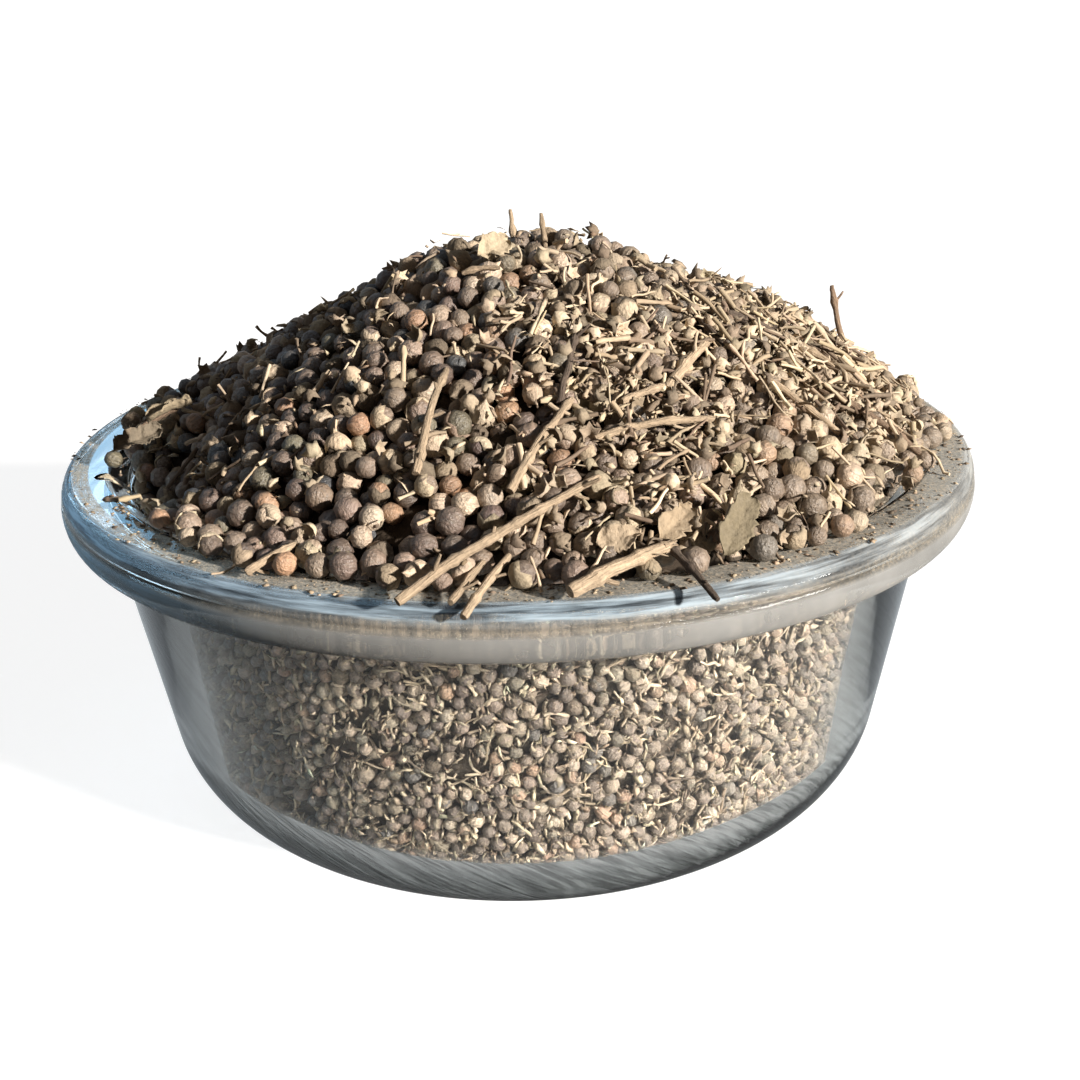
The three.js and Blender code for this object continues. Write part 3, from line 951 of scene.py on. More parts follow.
@dataclass
class HeapForm:
    """The mean surface of the heap, as the frame's heap has it."""

    rim: float = 63.0
    top: float = 32.8
    rounding: float = 11.6
    edge_fall: float = 2.6
    edge_radius: Tuple[float, ...] = (72, 73, 73.5, 73.5, 73.5, 71.5, 68, 68, 71.5, 72.5, 72, 71.5)
    edge_height: Tuple[float, ...] = (0.4, 0.4, 0.4, 0.4, 0.4, 1, 0.8, -1, 0.8, 1.2, 1.2, 0.6)
    bulge: Tuple[float, ...] = (1.4, 1.2, 1.2, 1.2, 1.1, 0.96, 0.9, 1.05, 1.15, 1.2, 1.2, 1.3)
    humps: Tuple[Tuple[float, float, float, float], ...] = (
        (-61, -21, -10, 8.5),
        (-34, 6, 1.2, 7),
        (47, 10, 1.8, 9),
        (23, 2, -1.2, 5),
        (13, 4, 1.2, 5),
        (-15, 4, 2.2, 5),
    )

    @staticmethod
    def around(values: Sequence[float], angle: Array) -> Array:
        """A value of a list that runs round the bowl, eased between its steps."""
        steps = np.asarray(values, float)
        turn = (angle % (2 * math.pi)) / (2 * math.pi) * len(steps)
        index = np.floor(turn).astype(int) % len(steps)
        share = (1 - np.cos(math.pi * (turn - np.floor(turn)))) / 2
        return steps[index] * (1 - share) + steps[(index + 1) % len(steps)] * share

    def edge(self, places: Array) -> Array:
        """The radius at which the heap ends on the rim, in the direction of each place."""
        return self.around(self.edge_radius, np.arctan2(places[:, 1], places[:, 0]))

    def level(self, places: Array) -> Array:
        """The height of the heap's mean surface above the ground at each place."""
        x, y = places[:, 0], places[:, 1]
        angle, reach = np.arctan2(y, x), np.hypot(x, y)
        edge = self.around(self.edge_radius, angle)
        low = self.around(self.edge_height, angle)
        bulge = self.around(self.bulge, angle)

        def rounded(r: Array) -> Array:
            return np.hypot(r, self.rounding) - self.rounding

        share = (rounded(np.minimum(reach, edge)) / rounded(edge)) ** bulge
        level = low + (self.top - low) * (1 - share) - self.edge_fall * np.maximum(reach - edge, 0)
        for hx, hy, rise, spread in self.humps:
            level = level + rise * np.exp(-((x - hx) ** 2 + (y - hy) ** 2) / (2 * spread**2))
        return self.rim + level


# ---- Packing the loose fruit ----


def near_pairs(points: Array, reach: float) -> Tuple[Array, Array]:
    """Every pair of points nearer than about a reach, each pair once.

    Args:
        points: Places, one a row.
        reach: The side of the cells that are compared.

    Returns:
        Two arrays with the numbers of the first and second point of each pair.
    """
    cell = np.floor(points / reach).astype(np.int64)
    cell -= cell.min(axis=0) - 1
    span = cell.max(axis=0) + 2
    key = (cell[:, 0] * span[1] + cell[:, 1]) * span[2] + cell[:, 2]
    order = np.argsort(key, kind="stable")
    ranked = key[order]
    firsts, seconds = [], []
    for x, y, z in product((-1, 0, 1), repeat=3):
        if (x, y, z) < (0, 0, 0):
            continue
        other = key + (x * span[1] + y) * span[2] + z
        start, end = np.searchsorted(ranked, other, "left"), np.searchsorted(ranked, other, "right")
        count = end - start
        first = np.repeat(np.arange(len(points)), count)
        within = np.arange(count.sum()) - np.repeat(np.cumsum(count) - count, count)
        second = order[np.repeat(start, count) + within]
        if (x, y, z) == (0, 0, 0):
            keep = first < second
            first, second = first[keep], second[keep]
        firsts.append(first)
        seconds.append(second)
    return np.concatenate(firsts), np.concatenate(seconds)


@dataclass
class PackedFruit:
    """Where the loose fruit lie: centres, radii and depth under the heap's surface, in millimetres."""

    centres: Array
    radii: Array
    depth: Array


@dataclass
class LoosePacking:
    """Fruit pushed apart until they lie against each other, under the heap's surface and behind the glass."""

    bowl: GlassBowl
    heap: HeapForm
    smallest: float = 1.55
    largest: float = 2.2
    skin: float = 5.4
    wall_skin: float = 2.6
    sifted: float = 0.66
    sifted_depth: Tuple[float, float] = (5.0, 12.0)
    fullness: float = 0.72
    rounds: int = 110
    crowding: float = 0.95
    pull: float = 0.1
    edge_row: int = 90
    reach_into_glass: float = 0.04
    seed: int = 11

    def share_of_size(self, depth: Array) -> Array:
        """How large fruit are at a depth under the heap's surface, as the small ones have sifted down."""
        low, high = self.sifted_depth
        share = np.clip((depth - low) / (high - low), 0, 1)
        return 1 - (1 - self.sifted) * share * share * (3 - 2 * share)

    def first_places(self, rng: Random) -> Tuple[Array, Array]:
        """Random places and radii in the layer of fruit that can be seen, as many as it holds."""
        draws = 600000
        box_low, box_high = np.array([-76.0, -76.0, 5.0]), np.array([76.0, 76.0, 100.0])
        points = box_low + rng.random((draws, 3)) * (box_high - box_low)
        reach, height = reach_of(points), points[:, 2]
        depth = self.heap.level(points) - height
        mouth = self.bowl.height - self.bowl.ledge_depth
        inside = (height > mouth + 2) | (reach < self.bowl.inner_radius(height) - 0.9)
        inside &= (height > self.bowl.floor + 0.9) & (reach < self.heap.edge(points) - 1)
        on_rim = (height > self.bowl.height + 1.2) | (height < mouth - 3)
        inside &= (reach < self.bowl.ledge_radius - 3) | on_rim
        points, depth = points[inside & (depth > 1.0)], depth[inside & (depth > 1.0)]
        gap, _ = self.bowl.distance_inside(points)
        gap = np.where(points[:, 2] > self.bowl.height, 99.0, gap)
        seen = (depth < self.skin) | (gap < self.wall_skin)
        points, share = points[seen], self.share_of_size(depth[seen])
        mean = (self.smallest + self.largest) / 2 * share
        each = np.prod(box_high - box_low) / draws / (4 / 3 * math.pi * mean**3)
        count = int(self.fullness * each.sum())
        chosen = rng.choice(len(points), count, replace=False, p=each / each.sum())
        return points[chosen], rng.uniform(self.smallest, self.largest, count) * share[chosen]

    def edge_places(self, rng: Random, radii: Array) -> Array:
        """Places of the fruit that rest on the flat of the rim along the heap's edge."""
        angle = rng.uniform(0, 2 * math.pi, len(radii))
        reach = np.minimum(self.heap.around(self.heap.edge_radius, angle), 73.6)
        return round_axis(angle, reach - rng.uniform(0.0, 4.5, len(radii)), self.bowl.height + radii)

    def settle(self, obstacles: Array, thickness: Array) -> PackedFruit:
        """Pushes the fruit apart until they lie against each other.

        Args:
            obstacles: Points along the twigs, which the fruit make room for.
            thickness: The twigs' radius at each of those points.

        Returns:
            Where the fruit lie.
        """
        rng = np.random.default_rng(self.seed)
        loose, radii = self.first_places(rng)
        edge_radii = rng.uniform(self.smallest, self.largest, self.edge_row)
        places = np.concatenate([loose, self.edge_places(rng, edge_radii)])
        radii = np.concatenate([radii, edge_radii])
        count = len(places)
        lift = rng.uniform(-1.5, 1.3, count)
        sizes = np.concatenate([radii, thickness])
        for turn in range(self.rounds):
            everything = np.concatenate([places, obstacles])
            if turn % 4 == 0:
                first, second = near_pairs(everything, 2 * self.largest + 0.3)
                useful = (first < count) | (second < count)
                first, second = first[useful], second[useful]
            gap = everything[second] - everything[first]
            length = np.maximum(np.linalg.norm(gap, axis=1), 1e-4)
            overlap = np.maximum((sizes[first] + sizes[second]) * self.crowding - length, 0)
            push = gap / length[:, None] * (overlap * 0.42)[:, None]
            for axis in range(3):
                shift = np.bincount(second, push[:, axis], len(everything))
                shift -= np.bincount(first, push[:, axis], len(everything))
                places[:, axis] += np.clip(shift[:count], -0.8, 0.8)
            self.hold(places, radii, lift)
        return PackedFruit(places, radii, self.heap.level(places) - places[:, 2])

    def hold(self, places: Array, radii: Array, lift: Array) -> None:
        """Keeps the fruit under the heap's surface, clear of the glass and in the layer that can be seen."""
        surface = self.heap.level(places)
        ceiling = surface - 0.62 * radii + lift * 1.05
        reach = reach_of(places)
        over_rim = reach > self.bowl.ledge_radius - 2
        ceiling = np.where(over_rim, np.maximum(ceiling, self.bowl.height + radii), ceiling)
        places[:, 2] -= 0.7 * np.maximum(places[:, 2] - ceiling, 0)
        beyond = np.maximum(reach - self.heap.edge(places), 0) * (places[:, 2] > self.bowl.height)
        places[:, :2] -= places[:, :2] / np.maximum(reach, 1e-6)[:, None] * beyond[:, None] * 0.6
        gap, away = self.bowl.distance_inside(places)
        buried = surface - places[:, 2]
        nearer_top = buried - self.skin < gap - self.wall_skin
        outward = self.pull + 0.25 * ((buried > self.skin) & (gap > self.wall_skin))
        places[:, 2] += outward * nearer_top
        below_rim = places[:, 2] < self.bowl.height - self.bowl.ledge_depth
        places -= away * (outward * (~nearer_top & below_rim))[:, None]
        places += away * np.maximum(radii - self.reach_into_glass - gap, 0)[:, None]


# ---- Tones ----


class Palette(Enum):
    """The tones of each kind of loose piece: colours, each with its share of the pieces."""

    FRUIT = (
        ((0.088, 0.061, 0.049), 0.34),
        ((0.175, 0.127, 0.096), 0.30),
        ((0.36, 0.28, 0.205), 0.16),
        ((0.27, 0.158, 0.095), 0.07),
        ((0.105, 0.092, 0.062), 0.07),
        ((0.032, 0.036, 0.042), 0.06),
    )
    CALYX = (((0.46, 0.37, 0.265), 0.4), ((0.30, 0.235, 0.165), 0.35), ((0.17, 0.13, 0.093), 0.25))
    STALK = (((0.54, 0.43, 0.30), 0.5), ((0.38, 0.29, 0.195), 0.3), ((0.17, 0.12, 0.085), 0.2))
    CHAFF = (((0.55, 0.445, 0.31), 0.45), ((0.37, 0.285, 0.195), 0.35), ((0.17, 0.115, 0.075), 0.20))
    CRUMB = (((0.42, 0.33, 0.23), 0.5), ((0.27, 0.20, 0.14), 0.3), ((0.13, 0.095, 0.07), 0.2))

    def draw(self, count: int, rng: Random, jitter: float = 0.16) -> Array:
        """Draws a colour for each of a number of pieces."""
        shares = np.array([share for _, share in self.value])
        chosen = rng.choice(len(shares), count, p=shares / shares.sum())
        colours = np.array([colour for colour, _ in self.value])[chosen]
        colours = colours * np.exp(rng.normal(0, jitter, (count, 1)))
        return np.clip(colours * np.exp(rng.normal(0, 0.018, (count, 3))), 0.01, 0.75)


# ---- Small shapes, made for a radius of 1 ----


def shape_from(name: str, points: Sequence[Place], faces: Faces) -> Thing:
    """A small shape that keeps its own corners as its grain, to be scattered and then removed."""
    mesh = mesh_from(name, np.array(points), faces)
    set_vectors(mesh, "grain", np.array(points))
    return placed(name, mesh)


def ring_shape(name: str, rings: Sequence[Outline], start: float, end: float) -> Thing:
    """A closed body of rings round the upright axis, between two poles.

    Args:
        name: The shape's name.
        rings: For each ring, radius and height of each of its corners.
        start: Height of the lower pole.
        end: Height of the upper pole.

    Returns:
        The shape.
    """
    count = len(rings[0])
    points = [(0.0, 0.0, start)]
    for ring in rings:
        for step, (radius, level) in enumerate(ring):
            angle = 2 * math.pi * step / count
            points.append((radius * math.cos(angle), radius * math.sin(angle), level))
    points.append((0.0, 0.0, end))
    shape = shape_from(name, points, ring_faces(count, len(rings)))
    smooth(shape.data)
    return shape


def toothed(sides: int, tooth: Tuple[float, float], gap: Tuple[float, float]) -> Outline:
    """A ring whose corners are teeth and gaps in turn."""
    return [tooth if step % 2 else gap for step in range(sides)]


def fruit_shape(sides: int, latitudes: Sequence[float]) -> Thing:
    """A globe a little broader than high, with a small dimple at its tip."""
    angles = [math.radians(latitude) for latitude in latitudes]
    rings = [[(1.03 * math.cos(a), 0.97 * math.sin(a))] * sides for a in angles]
    return ring_shape("fruit_shape", rings, -0.97, 0.9)


def calyx_shape(sides: int = 10) -> Thing:
    """A cup that holds the lower half of a fruit, with short teeth and a nub for the stalk."""
    rings = [[(0.2, -1.12)] * sides, [(0.72, -0.82)] * sides, [(1.05, -0.3)] * sides]
    rings += [toothed(sides, (1.06, 0.46), (1.07, -0.04)), toothed(sides, (0.9, 0.2), (0.92, -0.2))]
    if sides < 10:
        rings.pop(1)
    return ring_shape("calyx_shape", rings, -1.2, -0.3)


def hood_shape() -> Thing:
    """A fruit wholly wrapped in its calyx, drawn out to a point at one end."""
    section = ((0.34, -1.05), (0.86, -0.66), (1.06, 0.0), (0.86, 0.6), (0.4, 1.0), (0.13, 1.45))
    return ring_shape("hood_shape", [[corner] * 8 for corner in section], -1.15, 1.75)


def star_shape() -> Thing:
    """An empty calyx, open like a small five-pointed bowl."""
    sides = 10
    rings = [[(0.22, -0.62)] * sides, [(0.7, -0.3)] * sides]
    rings += [toothed(sides, (1.25, 0.62), (0.78, 0.2)), toothed(sides, (1.12, 0.6), (0.68, 0.22))]
    rings += [[(0.5, -0.2)] * sides]
    return ring_shape("star_shape", rings, -0.8, -0.38)


def flake_shape() -> Thing:
    """A thin bent scrap, longer than wide, with uneven sides."""
    outline = [(-1.0, -0.2, 0.0), (-0.15, -0.5, 0.25), (0.8, -0.3, 0.02)]
    outline += [(1.1, 0.15, 0.12), (0.2, 0.45, 0.36), (-0.8, 0.4, 0.05)]
    half = 0.09
    points = outline + [(0.05, 0.0, 0.24 - half), (0.1, 0.05, 0.24 + half)]
    faces = [((k + 1) % 6, k, 6) for k in range(6)] + [(k, (k + 1) % 6, 7) for k in range(6)]
    return shape_from("flake_shape", points, faces)


def crumb_shape() -> Thing:
    """A rough crumb of eight faces."""
    points = [(1.0, 0.1, 0), (-0.9, -0.15, 0.1), (0.15, 0.8, -0.1)]
    points += [(-0.1, -0.85, 0.05), (0.1, -0.1, 0.7), (0, 0.12, -0.65)]
    faces = [(0, 2, 4), (2, 1, 4), (1, 3, 4), (3, 0, 4), (2, 0, 5), (1, 2, 5), (3, 1, 5), (0, 3, 5)]
    return shape_from("crumb_shape", points, faces)


@dataclass
class Workshop:
    """The trees that scatter shapes and thicken lines, and the pieces made with them."""

    scatter: Tree = field(default_factory=scatter_tree)
    strand: Tree = field(default_factory=strand_tree)

    def scattered(
        self,
        name: str,
        shape: Thing,
        places: Array,
        sizes: Array,
        turns: Array,
        tones: Array,
        finish: Material,
        unevenness: float,
        lump: float,
    ) -> Thing:
        """Puts a copy of a shape at every place and keeps them as one piece.

        Args:
            name: The piece's name.
            shape: The shape for a radius of 1.
            places: Centres in millimetres.
            sizes: Scale of each copy in millimetres along its three axes.
            turns: Rotation of each copy as three angles.
            tones: Colour of each copy.
            finish: The material.
            unevenness: How far corners move, in millimetres.
            lump: Size of the unevenness, in millimetres.

        Returns:
            The piece.
        """
        mesh = mesh_from(name + "_points", places * MM, [])
        values = {"turn": turns, "size": np.broadcast_to(sizes, places.shape) * MM, "tone": tones}
        for label, value in values.items():
            set_vectors(mesh, label, value)
        return settled(name, mesh, self.scatter, finish, unevenness, lump, {"Shape": shape, "Seed": 3})

    def strands(
        self,
        name: str,
        lines: Sequence["Strand"],
        sides: int,
        finish: Material,
        unevenness: float,
        lump: float,
    ) -> Thing:
        """Thickens lines into twigs or stalks and keeps them as one piece.

        Args:
            name: The piece's name.
            lines: The lines.
            sides: Number of sides of the section.
            finish: The material.
            unevenness: How far corners move, in millimetres.
            lump: Size of the unevenness, in millimetres.

        Returns:
            The piece.
        """
        edges, start = [], 0
        for line in lines:
            edges += [(start + k, start + k + 1) for k in range(len(line.points) - 1)]
            start += len(line.points)
        mesh = mesh_from(name + "_lines", np.concatenate([line.points for line in lines]) * MM, [], edges)
        set_values(mesh, "girth", np.concatenate([line.girth for line in lines]) * MM)
        tones = np.concatenate([np.broadcast_to(line.tone, line.points.shape) for line in lines])
        set_vectors(mesh, "tone", tones)
        return settled(name, mesh, self.strand, finish, unevenness, lump, {"Sides": sides, "Seed": 5})


@dataclass
class Strand:
    """One line with its radius at each point, in millimetres, and its colour."""

    points: Array
    girth: Array
    tone: Array


def remove_shape(shape: Thing) -> None:
    """Removes a shape once its copies are made."""
    mesh = shape.data
    bpy.data.objects.remove(shape)
    bpy.data.meshes.remove(mesh)


def carried(piece: Thing, bowl: Optional[GlassBowl] = None, replaces: str = "") -> Thing:
    """Lets a loose piece ride on the part.

    Args:
        piece: The piece.
        bowl: The bowl whose glass the piece is kept clear of, where it lies in it.
        replaces: The frame's node that the piece stands for.

    Returns:
        The same piece.
    """
    if bowl is not None:
        bowl.draw_in(piece.data)
    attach(piece, BODY)
    if replaces:
        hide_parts(replaces)
    return piece


# ---- The contents ----


@dataclass
class HeapCore:
    """The dark mass under the loose fruit, with crumbs and hollows in its own relief: near black on top,
    painted shade in the gaps between the fruit, and paler behind the glass.
    """

    bowl: GlassBowl
    heap: HeapForm
    below: float = 3.4
    behind_glass: float = 2.0
    around_steps: int = 200
    rings: int = 62
    relief: float = 1.1
    painted_shade_top: Colour = (0.03, 0.022, 0.016)
    paler: Colour = (0.085, 0.066, 0.05)
    finish: DryFinish = DryFinish(
        "deep_crumbs", fineness=500.0, stretch=1.0, mottle=900.0, lighten=2.2, dust=(0.08, 0.06, 0.042),
        bump=0.6, bump_depth=0.0005, specular=0.1
    )

    def build(self) -> Thing:
        """Makes the core and stands it in for the plain heap of the frame."""
        rng = np.random.default_rng(5)
        bowl, count = self.bowl, self.around_steps
        angles = full_turn(count)
        mouth = np.array([bowl.height - bowl.ledge_depth])
        limit = bowl.inner_radius(mouth)[0] - self.behind_glass
        peak = (0.0, 0.0, self.heap.level(np.zeros((1, 2)))[0] - self.below)
        points = [np.array([peak])]
        for ring in range(1, self.rings + 1):
            flat = round_axis(angles, limit * (ring / self.rings) ** 0.85, 0.0)
            top = self.heap.level(flat) - self.below + rng.uniform(-self.relief, self.relief, count)
            flat[:, 2] = np.maximum(top, bowl.height - 8.0)
            points.append(flat)
        levels = np.linspace(bowl.height - 9.5, bowl.floor + bowl.inner_corner, 16)
        rows = list(zip(bowl.inner_radius(levels), levels)) + bowl.inner_line(6)[1:-2][::-1]
        for radius, level in rows:
            inset = radius - self.behind_glass + rng.uniform(-0.7, 0.4, count)
            lift = self.behind_glass if level < bowl.floor + 4 else 0.0
            points.append(round_axis(angles, inset, level + lift))
        points.append(np.array([(0.0, 0.0, bowl.floor + self.behind_glass)]))
        array = np.concatenate(points)
        faces = ring_faces(count, self.rings + len(rows), inward=True)
        mesh = smooth(mesh_from("heap_core", array * MM, faces))
        set_vectors(mesh, "grain", array * MM)
        on_top = np.arange(len(array)) <= self.rings * count
        # On top the core is near black, painted shade; behind the glass it is paler.
        set_vectors(mesh, "tone", np.where(on_top[:, None], self.painted_shade_top, self.paler))
        mesh.materials.append(self.finish.material())
        return carried(placed("heap_core", mesh), replaces="fruit_heap")


@dataclass
class FruitLayer:
    """The loose fruit, with the calyx cups and short stalks that some of them keep."""

    bowl: GlassBowl
    packed: PackedFruit
    workshop: Workshop
    cupped_share: float = 0.36
    hooded_share: float = 0.07
    stalked_share: float = 0.4
    gap_share: float = 0.06
    floor_level: float = 17.0
    sifted_dust: Colour = (0.05, 0.04, 0.03)
    seed: int = 23
    skin: DryFinish = DryFinish(
        "dried_fruit_skin", fineness=4.2, stretch=0.12, streak_share=0.75, lighten=2.0, darken=0.3,
        dust_amount=0.3, roughness=0.38, bump=0.8, bump_depth=0.00026, specular=0.6
    )
    straw: DryFinish = DryFinish(
        "short_stalk_straw", fineness=2.4, stretch=0.3, mottle=1.6, lighten=1.4, darken=0.5,
        dust_amount=0.3, strand=True
    )
    cup: DryFinish = DryFinish(
        "calyx_felt", fineness=4.5, stretch=0.15, mottle=3.5, streak_share=0.6, lighten=1.5, darken=0.3,
        dust_amount=0.25, bump=0.9, bump_depth=0.0002
    )

    def build(self) -> List[Thing]:
        """Makes the fruit on the heap and behind the glass, their cups and their stalks."""
        rng = np.random.default_rng(self.seed)
        centres, radii = self.packed.centres, self.packed.radii
        count = len(radii)
        lean, spin = np.arccos(rng.uniform(-1, 1, count)), rng.uniform(0, 2 * math.pi, count)
        turns = np.stack([lean, rng.uniform(-0.3, 0.3, count), spin], axis=1)
        sizes = radii[:, None] * rng.uniform(0.9, 1.02, (count, 3))
        # Fruit are mixed towards a pale tan, more towards the right and towards the top of the heap.
        paler = np.clip((centres[:, :1] + 5) / 120 + np.maximum(centres[:, 2:] - 82, 0) / 70, 0, 0.42)
        tones = Palette.FRUIT.draw(count, rng)
        tones = tones * (1 - paler) + np.array((0.30, 0.24, 0.175)) * paler
        behind = self.packed.depth > 9.0
        # Behind the glass the fruit are darkened, painted shade, with a little sifted dust added and darker
        # still at the sides.
        tones = np.where(behind[:, None], (tones * 0.62 + self.sifted_dust) * painted_shade_behind_glass(centres), tones)
        kept = behind | (rng.random(count) > self.gap_share)
        hooded = kept & (rng.random(count) < self.hooded_share)
        skin, cup = self.skin.material(), self.cup.material()
        low = centres[:, 2] < self.floor_level
        small = fruit_shape(7, (-42, 4, 50))
        bare = (sizes, tones, skin, 0.16, 2.0)
        kinds = [
            ("fruit_on_heap", fruit_shape(9, (-52, -16, 20, 56)), kept & ~behind & ~hooded, bare),
            ("fruit_behind_glass", small, behind & ~hooded & ~low, bare),
            ("fruit_on_bowl_floor", small, behind & ~hooded & low, bare),
        ]
        cupped = kept & (rng.random(count) < self.cupped_share) & ~hooded
        cup_tones = Palette.CALYX.draw(count, rng)
        # Calyx cups behind the glass are darkened the same way, painted shade.
        dim_tones = (cup_tones * 0.5 + self.sifted_dust) * painted_shade_behind_glass(centres)
        cup_tones = np.where(behind[:, None], dim_tones, cup_tones)
        cup_sizes = sizes.copy()
        cup_sizes[:, 2] *= rng.uniform(0.9, 1.05, count)
        clad = (cup_sizes, cup_tones, cup, 0.2, 1.2)
        kinds += [
            ("calyx_cups", calyx_shape(), cupped & ~behind, clad),
            ("calyx_cups_behind_glass", calyx_shape(8), cupped & behind, clad),
            ("hooded_fruit", hood_shape(), hooded, (sizes, cup_tones, cup, 0.13, 1.2)),
        ]
        pieces = []
        for name, shape, part, (scale, colours, finish, unevenness, lump) in kinds:
            piece = self.workshop.scattered(
                name, shape, centres[part], scale[part], turns[part], colours[part], finish, unevenness, lump
            )
            pieces.append(carried(piece, self.bowl))
        for shape in {kind[1] for kind in kinds}:
            remove_shape(shape)
        stalked = np.flatnonzero(cupped & (rng.random(count) < self.stalked_share))
        lines = [self.pedicel(centres[k], sizes[k], turns[k], cup_tones[k], rng) for k in stalked]
        piece = self.workshop.strands("short_stalks", lines, 4, self.straw.material(), 0.04, 0.8)
        return [*pieces, carried(piece, self.bowl)]

    def pedicel(self, centre: Array, size: Array, turn: Array, tone: Array, rng: Random) -> "Strand":
        """The short bent stalk that a fruit's calyx keeps."""
        axis = np.array(Euler(turn, "XYZ").to_matrix() @ Vector((0, 0, -1)))
        side = np.cross(axis, rng.normal(0, 1, 3))
        side /= max(np.linalg.norm(side), 1e-6)
        length = rng.uniform(1.2, 3.6)
        t = np.linspace(0, 1, 5)[:, None]
        points = centre + axis * (size[2] * 1.1 + length * t) + side * (0.5 * length * t**2)
        return Strand(points, rng.uniform(0.2, 0.3) * np.array((1.25, 0.85, 0.8, 0.9, 1.2)), tone * 1.1)


def painted_shade_behind_glass(places: Array) -> Array:
    """Painted shade on things behind the glass: how much of its lightness a thing at each place keeps, least
    at the left and less at the right.
    """
    return np.interp(places[:, 0], (-60.0, -22.0, 10.0, 50.0), (0.58, 1.0, 1.0, 0.76))[:, None]


def smooth_noise(count: int, waves: float, rng: Random) -> Array:
    """A smooth random offset in three directions along a line, about 1 at most."""
    t = np.linspace(0, 1, count)[:, None]
    total = np.zeros((count, 3))
    for order in (0.5, 1.0, 2.1):
        phase, size = rng.uniform(0, 2 * math.pi, 3), rng.normal(0, 0.6 / (1 + order), 3)
        total += size * np.sin(2 * math.pi * waves * order * t + phase)
    return total


class Bark(Enum):
    """The barks that the twigs show."""

    PALE = (0.36, 0.272, 0.185)
    GREY = (0.23, 0.20, 0.165)
    BROWN = (0.215, 0.147, 0.10)
    DARK = (0.085, 0.062, 0.048)


@dataclass(frozen=True)
class Twig:
    """One twig: its two ends, radius, upward bow, bark and how frayed its far end is.

    The ends are in millimetres, with their height above the rim's level.
    """

    start: Place
    end: Place
    radius: float
    bow: float
    bark: Bark = Bark.PALE
    frays: int = 0


TWIGS = (
    Twig((-16, -77, 1.4), (11, -58, 10.9), 0.7, 0.8),
    Twig((-14.2, -55.5, 11.3), (-10.1, -37.4, 21.2), 0.63, 1.6),
    Twig((-1.3, -60.3, 10), (7.9, -44.6, 18.3), 0.63, 0.8),
    Twig((6.1, -45.6, 17.9), (9.1, -31.4, 24.6), 0.52, 0.4, Bark.DARK),
    Twig((15, -44.1, 17.5), (22.4, -39.4, 18.4), 0.55, 0.3, Bark.PALE, 2),
    Twig((21.8, -40.4, 18), (29.6, -25.9, 21.7), 0.85, 0.3, Bark.PALE, 4),
    Twig((10.7, -51.4, 14.3), (28.5, -43.7, 14.4), 0.59, 0.9, Bark.PALE, 3),
    Twig((6, -76.4, 1.8), (19.5, -67.2, 4.2), 1.04, 0.3, Bark.PALE, 4),
    Twig((19.8, -66.6, 3.8), (24.8, -77.4, 0.5), 0.55, 0.2, Bark.DARK),
    Twig((-7.6, -78.6, -0.3), (-1.6, -67.6, 3.6), 0.59, 0.2),
    Twig((-9.2, -77, 1.1), (-5, -68, 3), 0.52, 0.1),
    Twig((37.7, -30.6, 16.6), (48.3, -36.6, 9.4), 0.55, 0.5),
    Twig((47.1, -26.2, 13.6), (62.3, -30.2, 3.8), 0.63, 0.8, Bark.BROWN),
    Twig((42.9, -13, 19.3), (58.1, -19.8, 9.1), 0.59, 0.8),
    Twig((27.6, -15.2, 25.8), (33.6, -27.9, 19.4), 0.55, -0.5, Bark.DARK),
    Twig((33.8, -26.5, 19.8), (45.9, -10.1, 18.4), 0.67, 0.4, Bark.GREY),
    Twig((49.5, -8.7, 16.6), (60.6, -8.1, 9.7), 0.59, 0.4),
    Twig((34.1, -14.8, 23.1), (41.8, -14.7, 19.6), 0.81, 0.4, Bark.DARK),
    Twig((57.3, 2.2, 10.4), (55, 6.5, 22.8), 0.55, -0.9, Bark.BROWN),
    Twig((-64.4, -6.7, 3.7), (-56.9, -6, 7.7), 0.55, 0.4, Bark.BROWN),
    Twig((-37, -65, 1.2), (-30.5, -61, 3.6), 0.59, 0.2),
    Twig((-8, -14.8, 30.8), (-2, -15.5, 31.6), 0.44, 0.4),
    Twig((0.3, 3.7, 31.8), (-0.2, 5.4, 37.4), 0.44, 0.2),
    Twig((5.5, 0, 31.8), (4.9, 1.7, 37.2), 0.44, 0.2),
)


